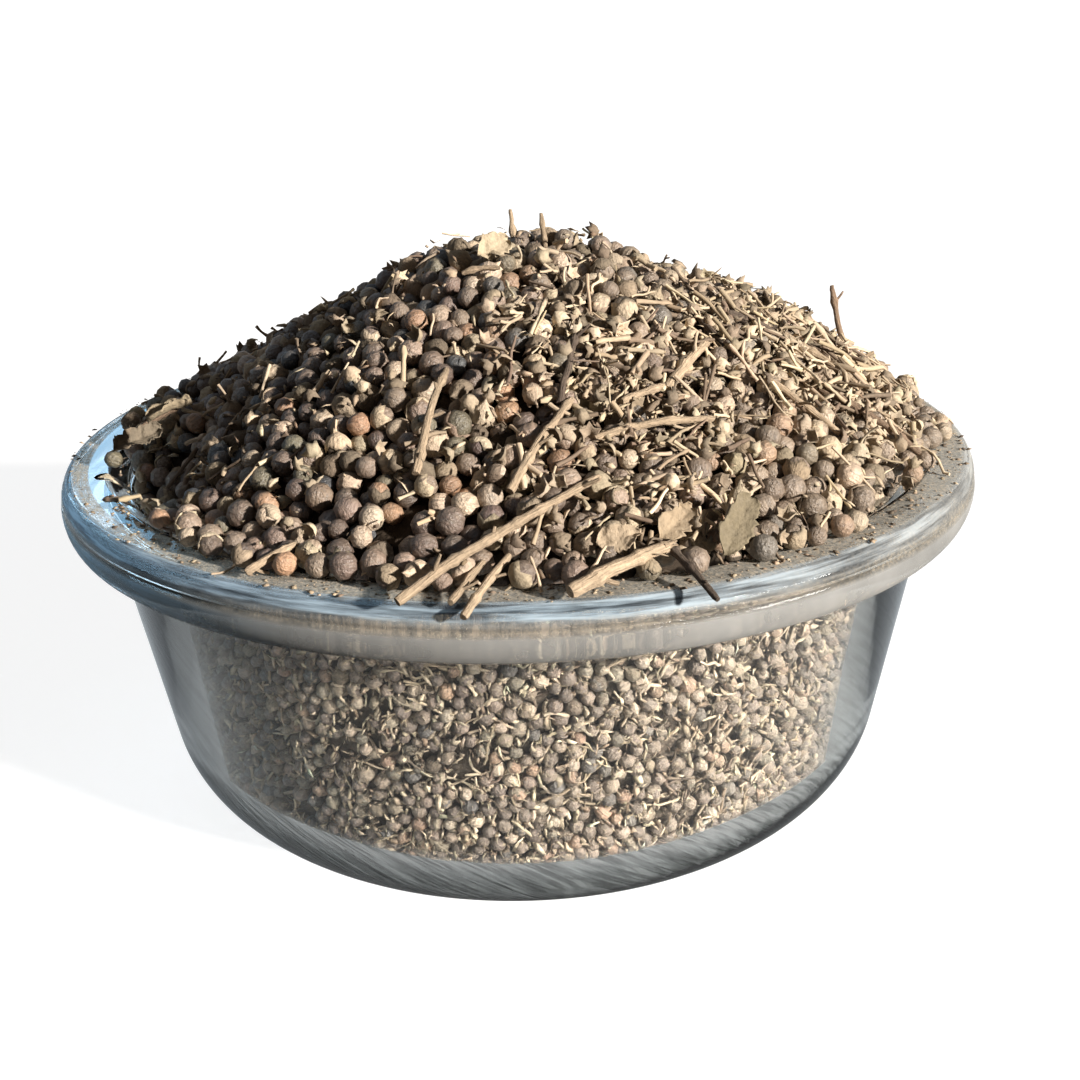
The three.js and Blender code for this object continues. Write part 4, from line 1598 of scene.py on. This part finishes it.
@dataclass
class TwigPile:
    """The twigs that lie on the heap, each in its place, with knots, side stubs and splintered ends."""

    heap: HeapForm
    workshop: Workshop
    step: float = 0.55
    sides: int = 10
    seed: int = 31
    finish: DryFinish = DryFinish(
        "twig_bark", stretch=0.1, mottle=1.3, streak_share=0.85, darken=0.22, dust_amount=0.2, bump=0.9,
        bump_depth=0.0003, strand=True
    )

    def line(self, twig: Twig, rng: Random) -> Strand:
        """The middle line and the thickness of a twig."""
        start, end = np.array(twig.start, float), np.array(twig.end, float)
        start[2] += self.heap.rim
        end[2] += self.heap.rim
        length = np.linalg.norm(end - start)
        count = max(int(length / self.step), 8)
        t = np.linspace(0, 1, count)
        points = start + (end - start) * t[:, None]
        points[:, 2] += twig.bow * np.sin(math.pi * t)
        wave = smooth_noise(count, 1.1, rng) * 0.014 * length
        points += wave * np.sin(math.pi * t)[:, None]
        girth = twig.radius * (1.06 - 0.28 * t) * (1 + 0.05 * smooth_noise(count, 4.0, rng)[:, 0])
        for _ in range(max(2, int(length / 6))):
            middle = rng.uniform(0.08, 0.92)
            girth *= 1 + rng.uniform(0.2, 0.55) * np.exp(-(((t - middle) * length) ** 2) / (2 * 0.4**2))
        girth[0] *= 0.82
        girth[-1] *= 0.78
        return Strand(points, girth, np.array(twig.bark.value) * math.exp(rng.normal(0, 0.07)))

    def extras(self, twig: Twig, main: Strand, rng: Random) -> List[Strand]:
        """Side stubs along a twig and splinters at its end."""
        lines = []
        count = len(main.points)
        length = np.linalg.norm(main.points[-1] - main.points[0])
        for _ in range(int(length / 7)):
            k = int(rng.integers(2, count - 2))
            along = main.points[k + 1] - main.points[k - 1]
            along /= np.linalg.norm(along)
            side = np.cross(along, rng.normal(0, 1, 3))
            side /= np.linalg.norm(side)
            reach = rng.uniform(0.9, 2.6)
            t = np.linspace(0, 1, 5)[:, None]
            points = main.points[k] + (side * t + along * 0.7 * t**1.5) * reach
            lines.append(Strand(points, twig.radius * np.linspace(0.5, 0.3, 5), main.tone))
        along = main.points[-1] - main.points[-4]
        along /= np.linalg.norm(along)
        for _ in range(twig.frays):
            side = rng.normal(0, 1, 3)
            reach = rng.uniform(1.5, 3.4)
            t = np.linspace(0, 1, 6)[:, None]
            from_point = main.points[-3] + 0.55 * twig.radius * side / np.linalg.norm(side)
            points = from_point + along * reach * t + side * 0.28 * t**2
            lines.append(Strand(points, twig.radius * np.linspace(0.42, 0.12, 6), main.tone * 1.1))
        return lines

    def lines(self) -> List[Tuple[Twig, Strand]]:
        """Every twig with its middle line, always the same."""
        rng = np.random.default_rng(self.seed)
        return [(twig, self.line(twig, rng)) for twig in TWIGS]

    def obstacles(self) -> Tuple[Array, Array]:
        """Points along the twigs and their radii, for the fruit to make room."""
        lines = [line for _, line in self.lines()]
        points = np.concatenate([line.points[::2] for line in lines])
        return points, np.concatenate([line.girth[::2] * 0.75 for line in lines])

    def build(self) -> Thing:
        """Makes all the twigs as one piece."""
        rng = np.random.default_rng(self.seed + 1)
        strands: List[Strand] = []
        for twig, line in self.lines():
            strands += [line, *self.extras(twig, line, rng)]
        piece = self.workshop.strands("twigs", strands, self.sides, self.finish.material(), 0.13, 0.9)
        return carried(piece)


@dataclass(frozen=True)
class Zone:
    """A part of the heap's top where some litter gathers: its middle, its spread and its share."""

    x: float
    y: float
    spread: float
    share: float


LITTER_ZONES = (
    Zone(45.0, -17.0, 11.0, 0.36),
    Zone(57.0, -4.0, 7.0, 0.10),
    Zone(16.0, -40.0, 11.0, 0.20),
    Zone(28.0, -60.0, 7.0, 0.07),
    Zone(-40.0, -30.0, 14.0, 0.05),
    Zone(0.0, 0.0, 38.0, 0.16),
)


@dataclass
class Litter:
    """The stalks, empty calyces, chaff and crumbs on the heap, on the rim and behind the glass."""

    bowl: GlassBowl
    heap: HeapForm
    workshop: Workshop
    stalks: int = 470
    stalks_behind: int = 1700
    stars: int = 420
    stars_behind: int = 460
    flakes: int = 1100
    flakes_behind: int = 9000
    crumbs: int = 1500
    crumbs_on_rim: int = 1900
    crumbs_behind: int = 6500
    # Share of their lightness that things behind the glass keep, painted shade.
    dull: float = 0.85
    seed: int = 47
    straw: DryFinish = DryFinish(
        "stalk_straw", fineness=2.4, stretch=0.3, mottle=1.6, lighten=1.4, darken=0.5, dust_amount=0.3,
        bump=0.4, bump_depth=0.0001, strand=True
    )
    scrap: DryFinish = DryFinish(
        "dry_scraps", stretch=1.0, mottle=2.5, lighten=1.5, darken=0.35, dust_amount=0.35, bump=0.6
    )

    def on_heap(self, count: int, rng: Random, even: float = 0.0) -> Array:
        """Places on the heap's top, gathered in the litter's zones.

        Args:
            count: How many.
            rng: The random numbers.
            even: Share that is spread evenly instead.

        Returns:
            Places as x and y.
        """
        found = np.zeros((0, 2))
        zones = np.array([astuple(zone) for zone in LITTER_ZONES])
        while len(found) < count:
            pick = zones[rng.choice(len(zones), count, p=zones[:, 3] / zones[:, 3].sum())]
            places = pick[:, :2] + rng.normal(0, 1, (count, 2)) * pick[:, 2:3]
            flat = rng.random(count) < even
            places[flat] = rng.uniform(-74, 74, (flat.sum(), 2))
            found = np.concatenate([found, places[reach_of(places) < self.heap.edge(places) - 0.5]])
        return found[:count]

    def lying(self, flat: Array, lift: Array) -> Array:
        """Lifts places on the heap's plan to a height over its surface, and never into the rim."""
        level = self.heap.level(flat) + lift
        over_rim = reach_of(flat) > self.bowl.ledge_radius - 3
        level = np.where(over_rim, np.maximum(level, self.bowl.height + 0.5), level)
        return np.concatenate([flat, level[:, None]], axis=1)

    def stalk(self, points: Array, rng: Random, tone: Array, girth: float) -> List[Strand]:
        """A stalk along given points, now and then with a knob at its end and a fork."""
        count = len(points)
        t = np.linspace(0, 1, count)
        widths = girth * (1.1 - 0.35 * t)
        if rng.random() < 0.45:
            widths[-1] *= 1.2
            widths[-2] *= 1.75
        lines = [Strand(points, widths, tone)]
        if rng.random() < 0.38 and count > 4:
            k = int(rng.integers(1, count - 2))
            along = points[k + 1] - points[k]
            side = np.cross(along, rng.normal(0, 1, 3))
            side *= np.linalg.norm(along) / max(np.linalg.norm(side), 1e-6)
            s = np.linspace(0, 1, 4)[:, None]
            fork = points[k] + (along * 1.5 * s + side * 1.2 * s**1.4) * rng.uniform(0.8, 1.8)
            lines.append(Strand(fork, girth * np.array((0.8, 0.75, 1.1, 0.9)), tone))
        return lines

    def stalks_on_heap(self, rng: Random) -> List[Strand]:
        """Thin stalks that lie over the fruit at all angles."""
        lines: List[Strand] = []
        middles = self.on_heap(self.stalks, rng, 0.12)
        tones = Palette.STALK.draw(self.stalks, rng)
        for middle, tone in zip(middles, tones):
            crowded = math.exp(-((middle[0] - 46) ** 2 + (middle[1] + 16) ** 2) / (2 * 15.0**2))
            length = rng.uniform(2.2, 6.0) + rng.random() ** 2 * 7.0 * (0.3 + 0.7 * crowded)
            angle = rng.uniform(0, 2 * math.pi)
            t = np.linspace(-0.5, 0.5, 7)
            wave = smooth_noise(len(t), 0.6, rng) * length * 0.07
            flat = middle + np.outer(t * length, (math.cos(angle), math.sin(angle))) + wave[:, :2]
            lift = rng.uniform(0.1, 2.3) + crowded * rng.uniform(0, 1.6)
            lift = lift + t * length * rng.normal(0, 0.28) + wave[:, 2]
            points = self.lying(flat, np.maximum(lift, -2.0))
            lines += self.stalk(points, rng, tone, rng.uniform(0.13, 0.28) + 0.24 * rng.random() ** 2)
        return lines

    def behind(self, count: int, rng: Random, gap: Tuple[float, float]) -> Tuple[Array, Array, Array]:
        """Angles, heights and gaps from the glass of pieces that show through it."""
        angle = rng.uniform(0, 2 * math.pi, count)
        level = self.bowl.floor + 1.4 + rng.random(count) * (self.bowl.height - self.bowl.floor - 6.0)
        return angle, level, rng.uniform(gap[0], gap[1], count)

    def against_glass(self, angle: Array, level: Array, gap: Array) -> Array:
        """Places at a gap from the inside of the glass, clear of its floor."""
        level = np.maximum(level, self.bowl.floor + gap)
        places = round_axis(angle, self.bowl.inner_radius(level) - gap, level)
        return self.bowl.clear_of_wall(places, gap)

    def stalks_behind_glass(self, rng: Random) -> List[Strand]:
        """Thin stalks pressed between the fruit and the glass."""
        lines: List[Strand] = []
        angles, levels, gaps = self.behind(self.stalks_behind, rng, (0.25, 0.9))
        # Stalks behind the glass are darkened, painted shade, more at the sides.
        tones = Palette.STALK.draw(self.stalks_behind, rng) * self.dull * 0.85
        tones = tones * painted_shade_behind_glass(round_axis(angles, self.bowl.foot_radius, 0.0))
        for angle, level, gap, tone in zip(angles, levels, gaps, tones):
            length, slope = rng.uniform(1.8, 5.0) + 4.0 * rng.random() ** 3, rng.uniform(0, 2 * math.pi)
            t = np.linspace(-0.5, 0.5, 7)
            wave = smooth_noise(len(t), 0.8, rng) * length * 0.13
            around = angle + (t * length * math.cos(slope) + wave[:, 0]) / 60.0
            up = level + t * length * math.sin(slope) + wave[:, 1]
            up = np.clip(up, self.bowl.floor + 1.0, self.bowl.height - 4)
            points = self.against_glass(around, up, gap + np.abs(wave[:, 2]))
            lines += self.stalk(points, rng, tone, rng.uniform(0.14, 0.32))
        return lines

    def scraps(
        self,
        name: str,
        shape: Thing,
        places: Array,
        sizes: Array,
        palette: Palette,
        finish: Material,
        rng: Random,
        tilt: float = math.pi,
        uneven_by: float = 0.1,
        light: float = 1.0,
    ) -> Thing:
        """Scatters one kind of scrap at given places, turned at random.

        Args:
            name: The piece's name.
            shape: The shape for a radius of 1.
            places: Centres in millimetres.
            sizes: Scale of each scrap in millimetres.
            palette: Its colours.
            finish: The material.
            rng: The random numbers.
            tilt: The furthest that a scrap leans, in radians.
            uneven_by: How far corners move, in millimetres.
            light: Share of their lightness that scraps behind the glass keep, as painted shade.

        Returns:
            The piece.
        """
        count = len(places)
        spans = ((-tilt, tilt), (-tilt, tilt), (0, 2 * math.pi))
        turns = np.stack([rng.uniform(*span, count) for span in spans], axis=1)
        tones = palette.draw(count, rng, 0.22)
        # Scraps behind the glass are darkened, painted shade.
        if light < 1.0:
            tones = tones * light * painted_shade_behind_glass(places)
        piece = self.workshop.scattered(name, shape, places, sizes, turns, tones, finish, uneven_by, 0.8)
        return carried(piece, self.bowl)

    def rim_places(self, rng: Random) -> Array:
        """Places of crumbs on the flat of the rim, more of them near the heap."""
        count = self.crumbs_on_rim
        angle = rng.uniform(0, 2 * math.pi, count)
        reach = self.bowl.ledge_radius + 0.6 + rng.random(count) ** 1.5 * 6.2
        places = round_axis(angle, reach, self.bowl.height + 0.14)
        return places[(places[:, 0] > -62) | (reach > 73.4)]

    def build(self) -> List[Thing]:
        """Makes the stalks, calyces, chaff and crumbs."""
        rng = np.random.default_rng(self.seed)
        straw, scrap = self.straw.material(), self.scrap.material()
        strands = (
            ("thin_stalks", 5, self.stalks_on_heap(rng)),
            ("thin_stalks_behind_glass", 4, self.stalks_behind_glass(rng)),
        )
        pieces = []
        for name, sides, lines in strands:
            piece = self.workshop.strands(name, lines, sides, straw, 0.06, 0.9)
            pieces.append(carried(piece, self.bowl))
        star, flake, crumb = star_shape(), flake_shape(), crumb_shape()

        def add(
            name: str, shape: Thing, palette: Palette, places: Array, sizes: Array, **more: float
        ) -> None:
            pieces.append(self.scraps(name, shape, places, sizes, palette, scrap, rng, **more))

        top = self.lying(self.on_heap(self.stars, rng, 0.2), rng.uniform(0.4, 2.2, self.stars))
        add("empty_calyces", star, Palette.CALYX, top, rng.uniform(0.9, 1.5, (self.stars, 1)))
        low = self.against_glass(*self.behind(self.stars_behind, rng, (1.0, 2.0)))
        sizes = rng.uniform(0.7, 1.1, (self.stars_behind, 1))
        add("empty_calyces_behind_glass", star, Palette.CALYX, low, sizes, light=self.dull)
        top = self.lying(self.on_heap(self.flakes, rng, 0.25), rng.uniform(0.0, 2.0, self.flakes))
        sizes = rng.uniform(0.5, 1.0, (self.flakes, 1))
        sizes = sizes * rng.uniform((0.9, 0.5, 0.9), (2.0, 1.5, 1.4), (self.flakes, 3))
        add("chaff", flake, Palette.CHAFF, top, sizes, tilt=0.8)
        low = self.against_glass(*self.behind(self.flakes_behind, rng, (0.1, 1.0)))
        sizes = rng.uniform(0.4, 1.0, (self.flakes_behind, 1))
        sizes = sizes * rng.uniform((0.9, 0.5, 0.9), (1.9, 1.5, 1.6), (self.flakes_behind, 3))
        add("chaff_behind_glass", flake, Palette.CHAFF, low, sizes, light=self.dull)
        top = self.lying(self.on_heap(self.crumbs, rng, 0.5), rng.uniform(-1.6, 1.4, self.crumbs))
        add("crumbs_on_heap", crumb, Palette.CRUMB, top, rng.uniform(0.2, 0.6, (self.crumbs, 3)))
        rim = self.rim_places(rng)
        sizes = rng.uniform(0.1, 0.2, (len(rim), 1)) + rng.random((len(rim), 1)) ** 5 * 0.6
        sizes = np.minimum(sizes, 0.8) * (1, 1, 0.5)
        add("crumbs_on_rim", crumb, Palette.CRUMB, rim, sizes, tilt=0.3, uneven_by=0.03)
        low = self.against_glass(*self.behind(self.crumbs_behind, rng, (0.3, 2.8)))
        sizes = rng.uniform(0.2, 0.55, (self.crumbs_behind, 3))
        add("crumbs_behind_glass", crumb, Palette.CRUMB, low, sizes, uneven_by=0.05, light=self.dull)
        for shape in (star, flake, crumb):
            remove_shape(shape)
        return pieces


@dataclass(frozen=True)
class Leaf:
    """One leaf flake: its middle above the rim's level, length, width, turn, tilt, curl and colour."""

    at: Place
    length: float
    width: float
    turn: float
    tilt: float
    curl: float
    point: float
    tone: Colour
    roll: float = 0.0


LEAVES = (
    Leaf((28.9, -65.4, 6.0), 10, 4.6, 58, 34, 0.5, 0.2, (0.165, 0.135, 0.085), 42),
    Leaf((20.8, -64.0, 6.0), 6.6, 4.4, 40, 24, 0.6, 0.4, (0.33, 0.25, 0.165), 40),
    Leaf((12.9, -67.2, 5.4), 6.2, 5.2, 8, 10, 0.5, 1.2, (0.40, 0.31, 0.215), 48),
    Leaf((-3.2, -8.6, 33.6), 6.0, 4.6, 28, 20, 0.7, 0.3, (0.44, 0.36, 0.25), 58),
    Leaf((-58, -8, 7.6), 8, 5, 24, 16, 1.2, 0.7, (0.30, 0.24, 0.16)),
    # The next two leaves, at the left, have darker tones: painted shade.
    Leaf((-64.8, -12.5, 3.9), 6, 3.4, 64, 10, 0.8, 0.5, (0.15, 0.115, 0.08), 34),
    Leaf((-60, -17.5, 6.4), 5.6, 3.8, 30, 16, 0.8, 0.5, (0.13, 0.105, 0.075), 40),
    Leaf((-30, 40, 15.2), 9, 5, 120, -24, 1.2, 0.6, (0.40, 0.32, 0.20)),
    Leaf((35, 44, 12.6), 9, 5, 52, -24, 1.0, 0.7, (0.34, 0.27, 0.16)),
)


@dataclass
class LeafFlakes:
    """Broken leaves, thin and curled, with a midrib and torn edges."""

    heap: HeapForm
    cells: Tuple[int, int] = (22, 14)
    thickness: float = 0.28
    seed: int = 61
    finish: DryFinish = DryFinish(
        "dry_leaf", fineness=1.1, stretch=1.0, mottle=0.7, streak_share=0.45, lighten=1.35, darken=0.45,
        dust_amount=0.35, bump=0.6, bump_depth=0.0003
    )

    def outline(self, leaf: Leaf, rng: Random) -> Array:
        """The leaf's middle sheet as a grid of points in millimetres, before it is turned."""
        long, wide = self.cells
        u = np.linspace(-1, 1, long + 1)
        v = np.linspace(-1, 1, wide + 1)
        half = leaf.width / 2 * np.clip(1 - np.abs(u) ** 3.4, 0.0, 1) ** 0.6
        half = half * (1 - leaf.point * 0.6 * (u + 1) / 2)
        torn = 1 + 0.2 * smooth_noise(long + 1, 3.0, rng)[:, :2] + 0.1 * rng.normal(0, 1, (long + 1, 2))
        sides = np.maximum(half[:, None] * np.clip(torn, 0.35, 1.4), 0.3)
        ripple = smooth_noise(long + 1, 1.3, rng) * leaf.curl
        grid = np.zeros((long + 1, wide + 1, 3))
        for i, place in enumerate(u):
            across = v * np.where(v > 0, sides[i, 0], sides[i, 1])
            side_veins = 0.05 * np.cos(2.2 * math.pi * (place * 1.6 - np.abs(v)))
            vein = 0.16 * np.exp(-((across / 0.25) ** 2)) + side_veins
            grid[i, :, 0] = place * leaf.length / 2 + 0.25 * np.abs(across) + rng.normal(0, 0.03)
            grid[i, :, 1] = across
            grid[i, :, 2] = leaf.curl * v**2 + ripple[i, 0] * 0.6 + ripple[i, 1] * 0.5 * v - vein
        return grid

    def add(self, leaf: Leaf, rng: Random, points: List, grain: List, tones: List, faces: List) -> None:
        """Adds one leaf as a closed thin body to the lists of points and faces."""
        grid = self.outline(leaf, rng)
        turn = Matrix.Identity(3)
        for angle, axis in ((leaf.turn, "Z"), (-leaf.tilt, "Y"), (leaf.roll, "X")):
            turn = turn @ Matrix.Rotation(math.radians(angle), 3, axis)
        place = np.array(leaf.at) + (0, 0, self.heap.rim)
        sheet = grid.reshape(-1, 3)
        base, count = len(points), len(sheet)
        for side in (-0.5, 0.5):
            body = (sheet + (0, 0, side * self.thickness)) @ np.array(turn).T + place
            points += list(body)
            grain += list(sheet + (0, 0, side))
            tones += [leaf.tone] * count
        long, wide = self.cells

        def corner(i: int, j: int, upper: int) -> int:
            return base + upper * count + i * (wide + 1) + j

        for i in range(long):
            for j in range(wide):
                around = ((i, j), (i + 1, j), (i + 1, j + 1), (i, j + 1))
                faces.append(tuple(corner(*cell, 1) for cell in around))
                faces.append(tuple(corner(*cell, 0) for cell in (around[0], *around[:0:-1])))
        rim = [(i, 0) for i in range(long)] + [(long, j) for j in range(wide)]
        rim += [(i, wide) for i in range(long, 0, -1)] + [(0, j) for j in range(wide, 0, -1)]
        for (i, j), (k, m) in zip(rim, rim[1:] + rim[:1]):
            faces.append((corner(i, j, 0), corner(k, m, 0), corner(k, m, 1), corner(i, j, 1)))

    def build(self) -> Thing:
        """Makes all the leaf flakes as one piece."""
        rng = np.random.default_rng(self.seed)
        points, grain, tones, faces = [], [], [], []
        for leaf in LEAVES:
            self.add(leaf, rng, points, grain, tones, faces)
        mesh = smooth(mesh_from("leaf_flakes", np.array(points) * MM, faces))
        set_vectors(mesh, "grain", np.array(grain))
        set_vectors(mesh, "tone", np.array(tones))
        mesh.materials.append(self.finish.material())
        return carried(placed("leaf_flakes", mesh))


# ---- The studio ----


class Reaches(Enum):
    """What a lamp lights."""

    EVERYTHING = "everything"
    ALL_BUT_GLEAM = "everything, but it isn't mirrored"
    GLASS = "the glass"
    GLASS_AND_DUST = "the glass and the dust on it"


@dataclass(frozen=True)
class Panel:
    """A rectangular lamp, which may be kept to the glass that mirrors it, or to the glass and its dust.

    Azimuth is degrees round from the viewer to the right, elevation degrees above the floor, the
    lengths are metres and the power is watts.
    """

    name: str
    azimuth: float
    elevation: float
    distance: float
    width: float
    height: float
    power: float
    colour: Colour
    reaches: Reaches = Reaches.EVERYTHING


PANELS = (
    Panel("cool_side", -110.0, 36.0, 1.2, 0.6, 0.6, 1.3, (0.7, 0.86, 1.0)),
    Panel("soft_back", 172.0, 14.0, 1.5, 1.6, 0.8, 8.0, (1.0, 0.98, 0.95), Reaches.ALL_BUT_GLEAM),
    Panel("window_back_left", -156.0, 17.0, 1.5, 1.0, 0.6, 5.2, (0.3, 0.66, 1.0), Reaches.GLASS),
    Panel("window_left", -112.0, 18.0, 1.5, 1.7, 0.8, 19.0, (0.42, 0.74, 1.0), Reaches.GLASS_AND_DUST),
    Panel("sky_left", -108.0, 56.0, 1.5, 1.7, 1.0, 22.0, (0.45, 0.74, 1.0), Reaches.GLASS),
    Panel("sky_overhead", 180.0, 64.0, 1.5, 1.8, 1.1, 22.0, (0.5, 0.76, 1.0), Reaches.GLASS),
    Panel("soft_sky", 0.0, 80.0, 1.5, 1.0, 1.0, 5.0, (0.85, 0.93, 1.0), Reaches.GLASS_AND_DUST),
    Panel("bright_strip", 50.0, 13.0, 1.5, 1.3, 0.09, 12.0, (1.0, 0.98, 0.95), Reaches.GLASS),
)


@dataclass
class Studio:
    """The pale floor, the lamps and the camera at the photograph's viewpoint."""

    lens: float = 51.54
    place: Place = (0.0, -0.257785, 0.1416)
    forward: Place = (0.01226, 0.93357, -0.35819)
    right: Place = (0.99949, -0.02198, -0.02306)
    floor_radius: float = 9.0
    floor_drop: float = 0.00015
    gleam: Colour = (0.20, 0.25, 0.31)
    beyond: Colour = (0.68, 0.70, 0.70)
    fill: Colour = (0.07, 0.06, 0.053)
    kept_to: Dict[Reaches, bpy.types.Collection] = field(default_factory=dict)

    def camera(self) -> None:
        """Sets up the camera."""
        forward, right = Vector(self.forward).normalized(), Vector(self.right).normalized()
        up = right.cross(forward)
        data = bpy.data.cameras.new("view")
        data.lens, data.sensor_width, data.clip_start, data.clip_end = self.lens, 36.0, 0.01, 60.0
        camera = bpy.data.objects.new("view", data)
        turn = Matrix((right, up, -forward)).transposed().to_4x4()
        camera.matrix_world = Matrix.Translation(self.place) @ turn
        bpy.context.scene.collection.objects.link(camera)
        bpy.context.scene.camera = camera

    def hung(
        self, data: bpy.types.Light, azimuth: float, elevation: float, distance: float, lift: float
    ) -> Thing:
        """Hangs a lamp at a distance in metres, facing the bowl, and lifts it."""
        a, e = math.radians(azimuth), math.radians(elevation)
        towards = Vector((math.sin(a) * math.cos(e), -math.cos(a) * math.cos(e), math.sin(e)))
        light = bpy.data.objects.new(data.name, data)
        light.location = towards * distance + Vector((0, 0, lift))
        light.rotation_euler = towards.to_track_quat("Z", "Y").to_euler()
        bpy.context.scene.collection.objects.link(light)
        return light

    def lamp(self, panel: Panel) -> None:
        """Adds a square lamp that points at the bowl."""
        data = bpy.data.lights.new(panel.name, "AREA")
        data.shape, data.size, data.size_y = "RECTANGLE", panel.width, panel.height
        data.energy, data.color = panel.power, panel.colour
        light = self.hung(data, panel.azimuth, panel.elevation, panel.distance, 0.05)
        light.visible_camera = False
        light.visible_glossy = panel.reaches is not Reaches.ALL_BUT_GLEAM
        if panel.reaches in (Reaches.GLASS, Reaches.GLASS_AND_DUST):
            light.light_linking.receiver_collection = self.kept_to[panel.reaches]

    def key(self, azimuth: float, elevation: float, strength: float, softness: float, colour: Colour) -> None:
        """Adds the warm key light, which comes evenly from one side.

        Args:
            azimuth: Degrees round from the viewer towards the right.
            elevation: Degrees above the floor.
            strength: Light on a surface that faces it, in watts a square metre.
            softness: Width of the light as seen from the bowl, in degrees.
            colour: Colour of the light.
        """
        data = bpy.data.lights.new("warm_key", "SUN")
        data.energy, data.angle, data.color = strength, math.radians(softness), colour
        self.hung(data, azimuth, elevation, 2.0, 0.0)

    def build(self) -> None:
        """Makes the floor, the lamps, the world and the camera."""
        self.camera()
        self.kept_to = {reach: bpy.data.collections.new(reach.name.lower()) for reach in Reaches}
        radii = (0.0, 0.25, 0.8, 2.5, self.floor_radius)
        rings = [round_axis(full_turn(96 if radius else 1), radius, -self.floor_drop) for radius in radii]
        faces = ring_faces(96, len(rings) - 1, inward=True, closed=False)
        mesh = mesh_from("floor", np.concatenate(rings), faces)
        mesh.materials.append(StudioFinish().material())
        floor = placed("floor", mesh)
        floor.visible_diffuse = False
        self.key(52.0, 18.5, 9.0, 3.2, (1.0, 0.945, 0.875))
        for panel in PANELS:
            self.lamp(panel)
        world = bpy.data.worlds.new("studio")
        bpy.context.scene.world = world
        world.use_nodes = True
        world.cycles.sampling_method = "NONE"
        wiring = Wiring(world.node_tree)
        back = world.node_tree.nodes["Background"]
        path = wiring.add("ShaderNodeLightPath").outputs
        far = wiring.mix(path["Is Transmission Ray"], self.gleam, self.beyond)
        fill = wiring.mix(path["Is Diffuse Ray"], far, self.fill)
        seen = wiring.mix(path["Is Camera Ray"], fill, (1.0, 1.0, 1.0))
        world.node_tree.links.new(seen, back.inputs["Color"])
        back.inputs["Strength"].default_value = 1.0
        bpy.context.scene.view_settings.view_transform = "Standard"
        cycles = bpy.context.scene.cycles
        cycles.max_bounces, cycles.diffuse_bounces, cycles.transmission_bounces = 12, 2, 12


def write_sizes() -> None:
    """Brings the scene's placements up to date."""
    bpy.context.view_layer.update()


def main() -> None:
    """Builds the studio and the object, piece by piece."""
    logging.basicConfig(level=logging.INFO, format="%(message)s")
    studio = Studio()
    studio.build()
    bowl, heap, workshop = GlassBowl(), HeapForm(), Workshop()
    pieces = [bowl.build(), bowl.build_dust(), HeapCore(bowl, heap).build()]
    studio.kept_to[Reaches.GLASS].objects.link(pieces[0])
    for piece in pieces[:2]:
        studio.kept_to[Reaches.GLASS_AND_DUST].objects.link(piece)
    twigs = TwigPile(heap, workshop)
    packed = LoosePacking(bowl, heap).settle(*twigs.obstacles())
    LOG.info("packed %d fruit", len(packed.radii))
    pieces += FruitLayer(bowl, packed, workshop).build()
    pieces += [twigs.build(), LeafFlakes(heap).build()]
    pieces += Litter(bowl, heap, workshop).build()
    for piece in pieces:
        corners = sum(len(face.vertices) - 2 for face in piece.data.polygons)
        LOG.info("%s: %d faces, %d triangles", piece.name, len(piece.data.polygons), corners)
    write_sizes()


if __name__ == "__main__":
    main()
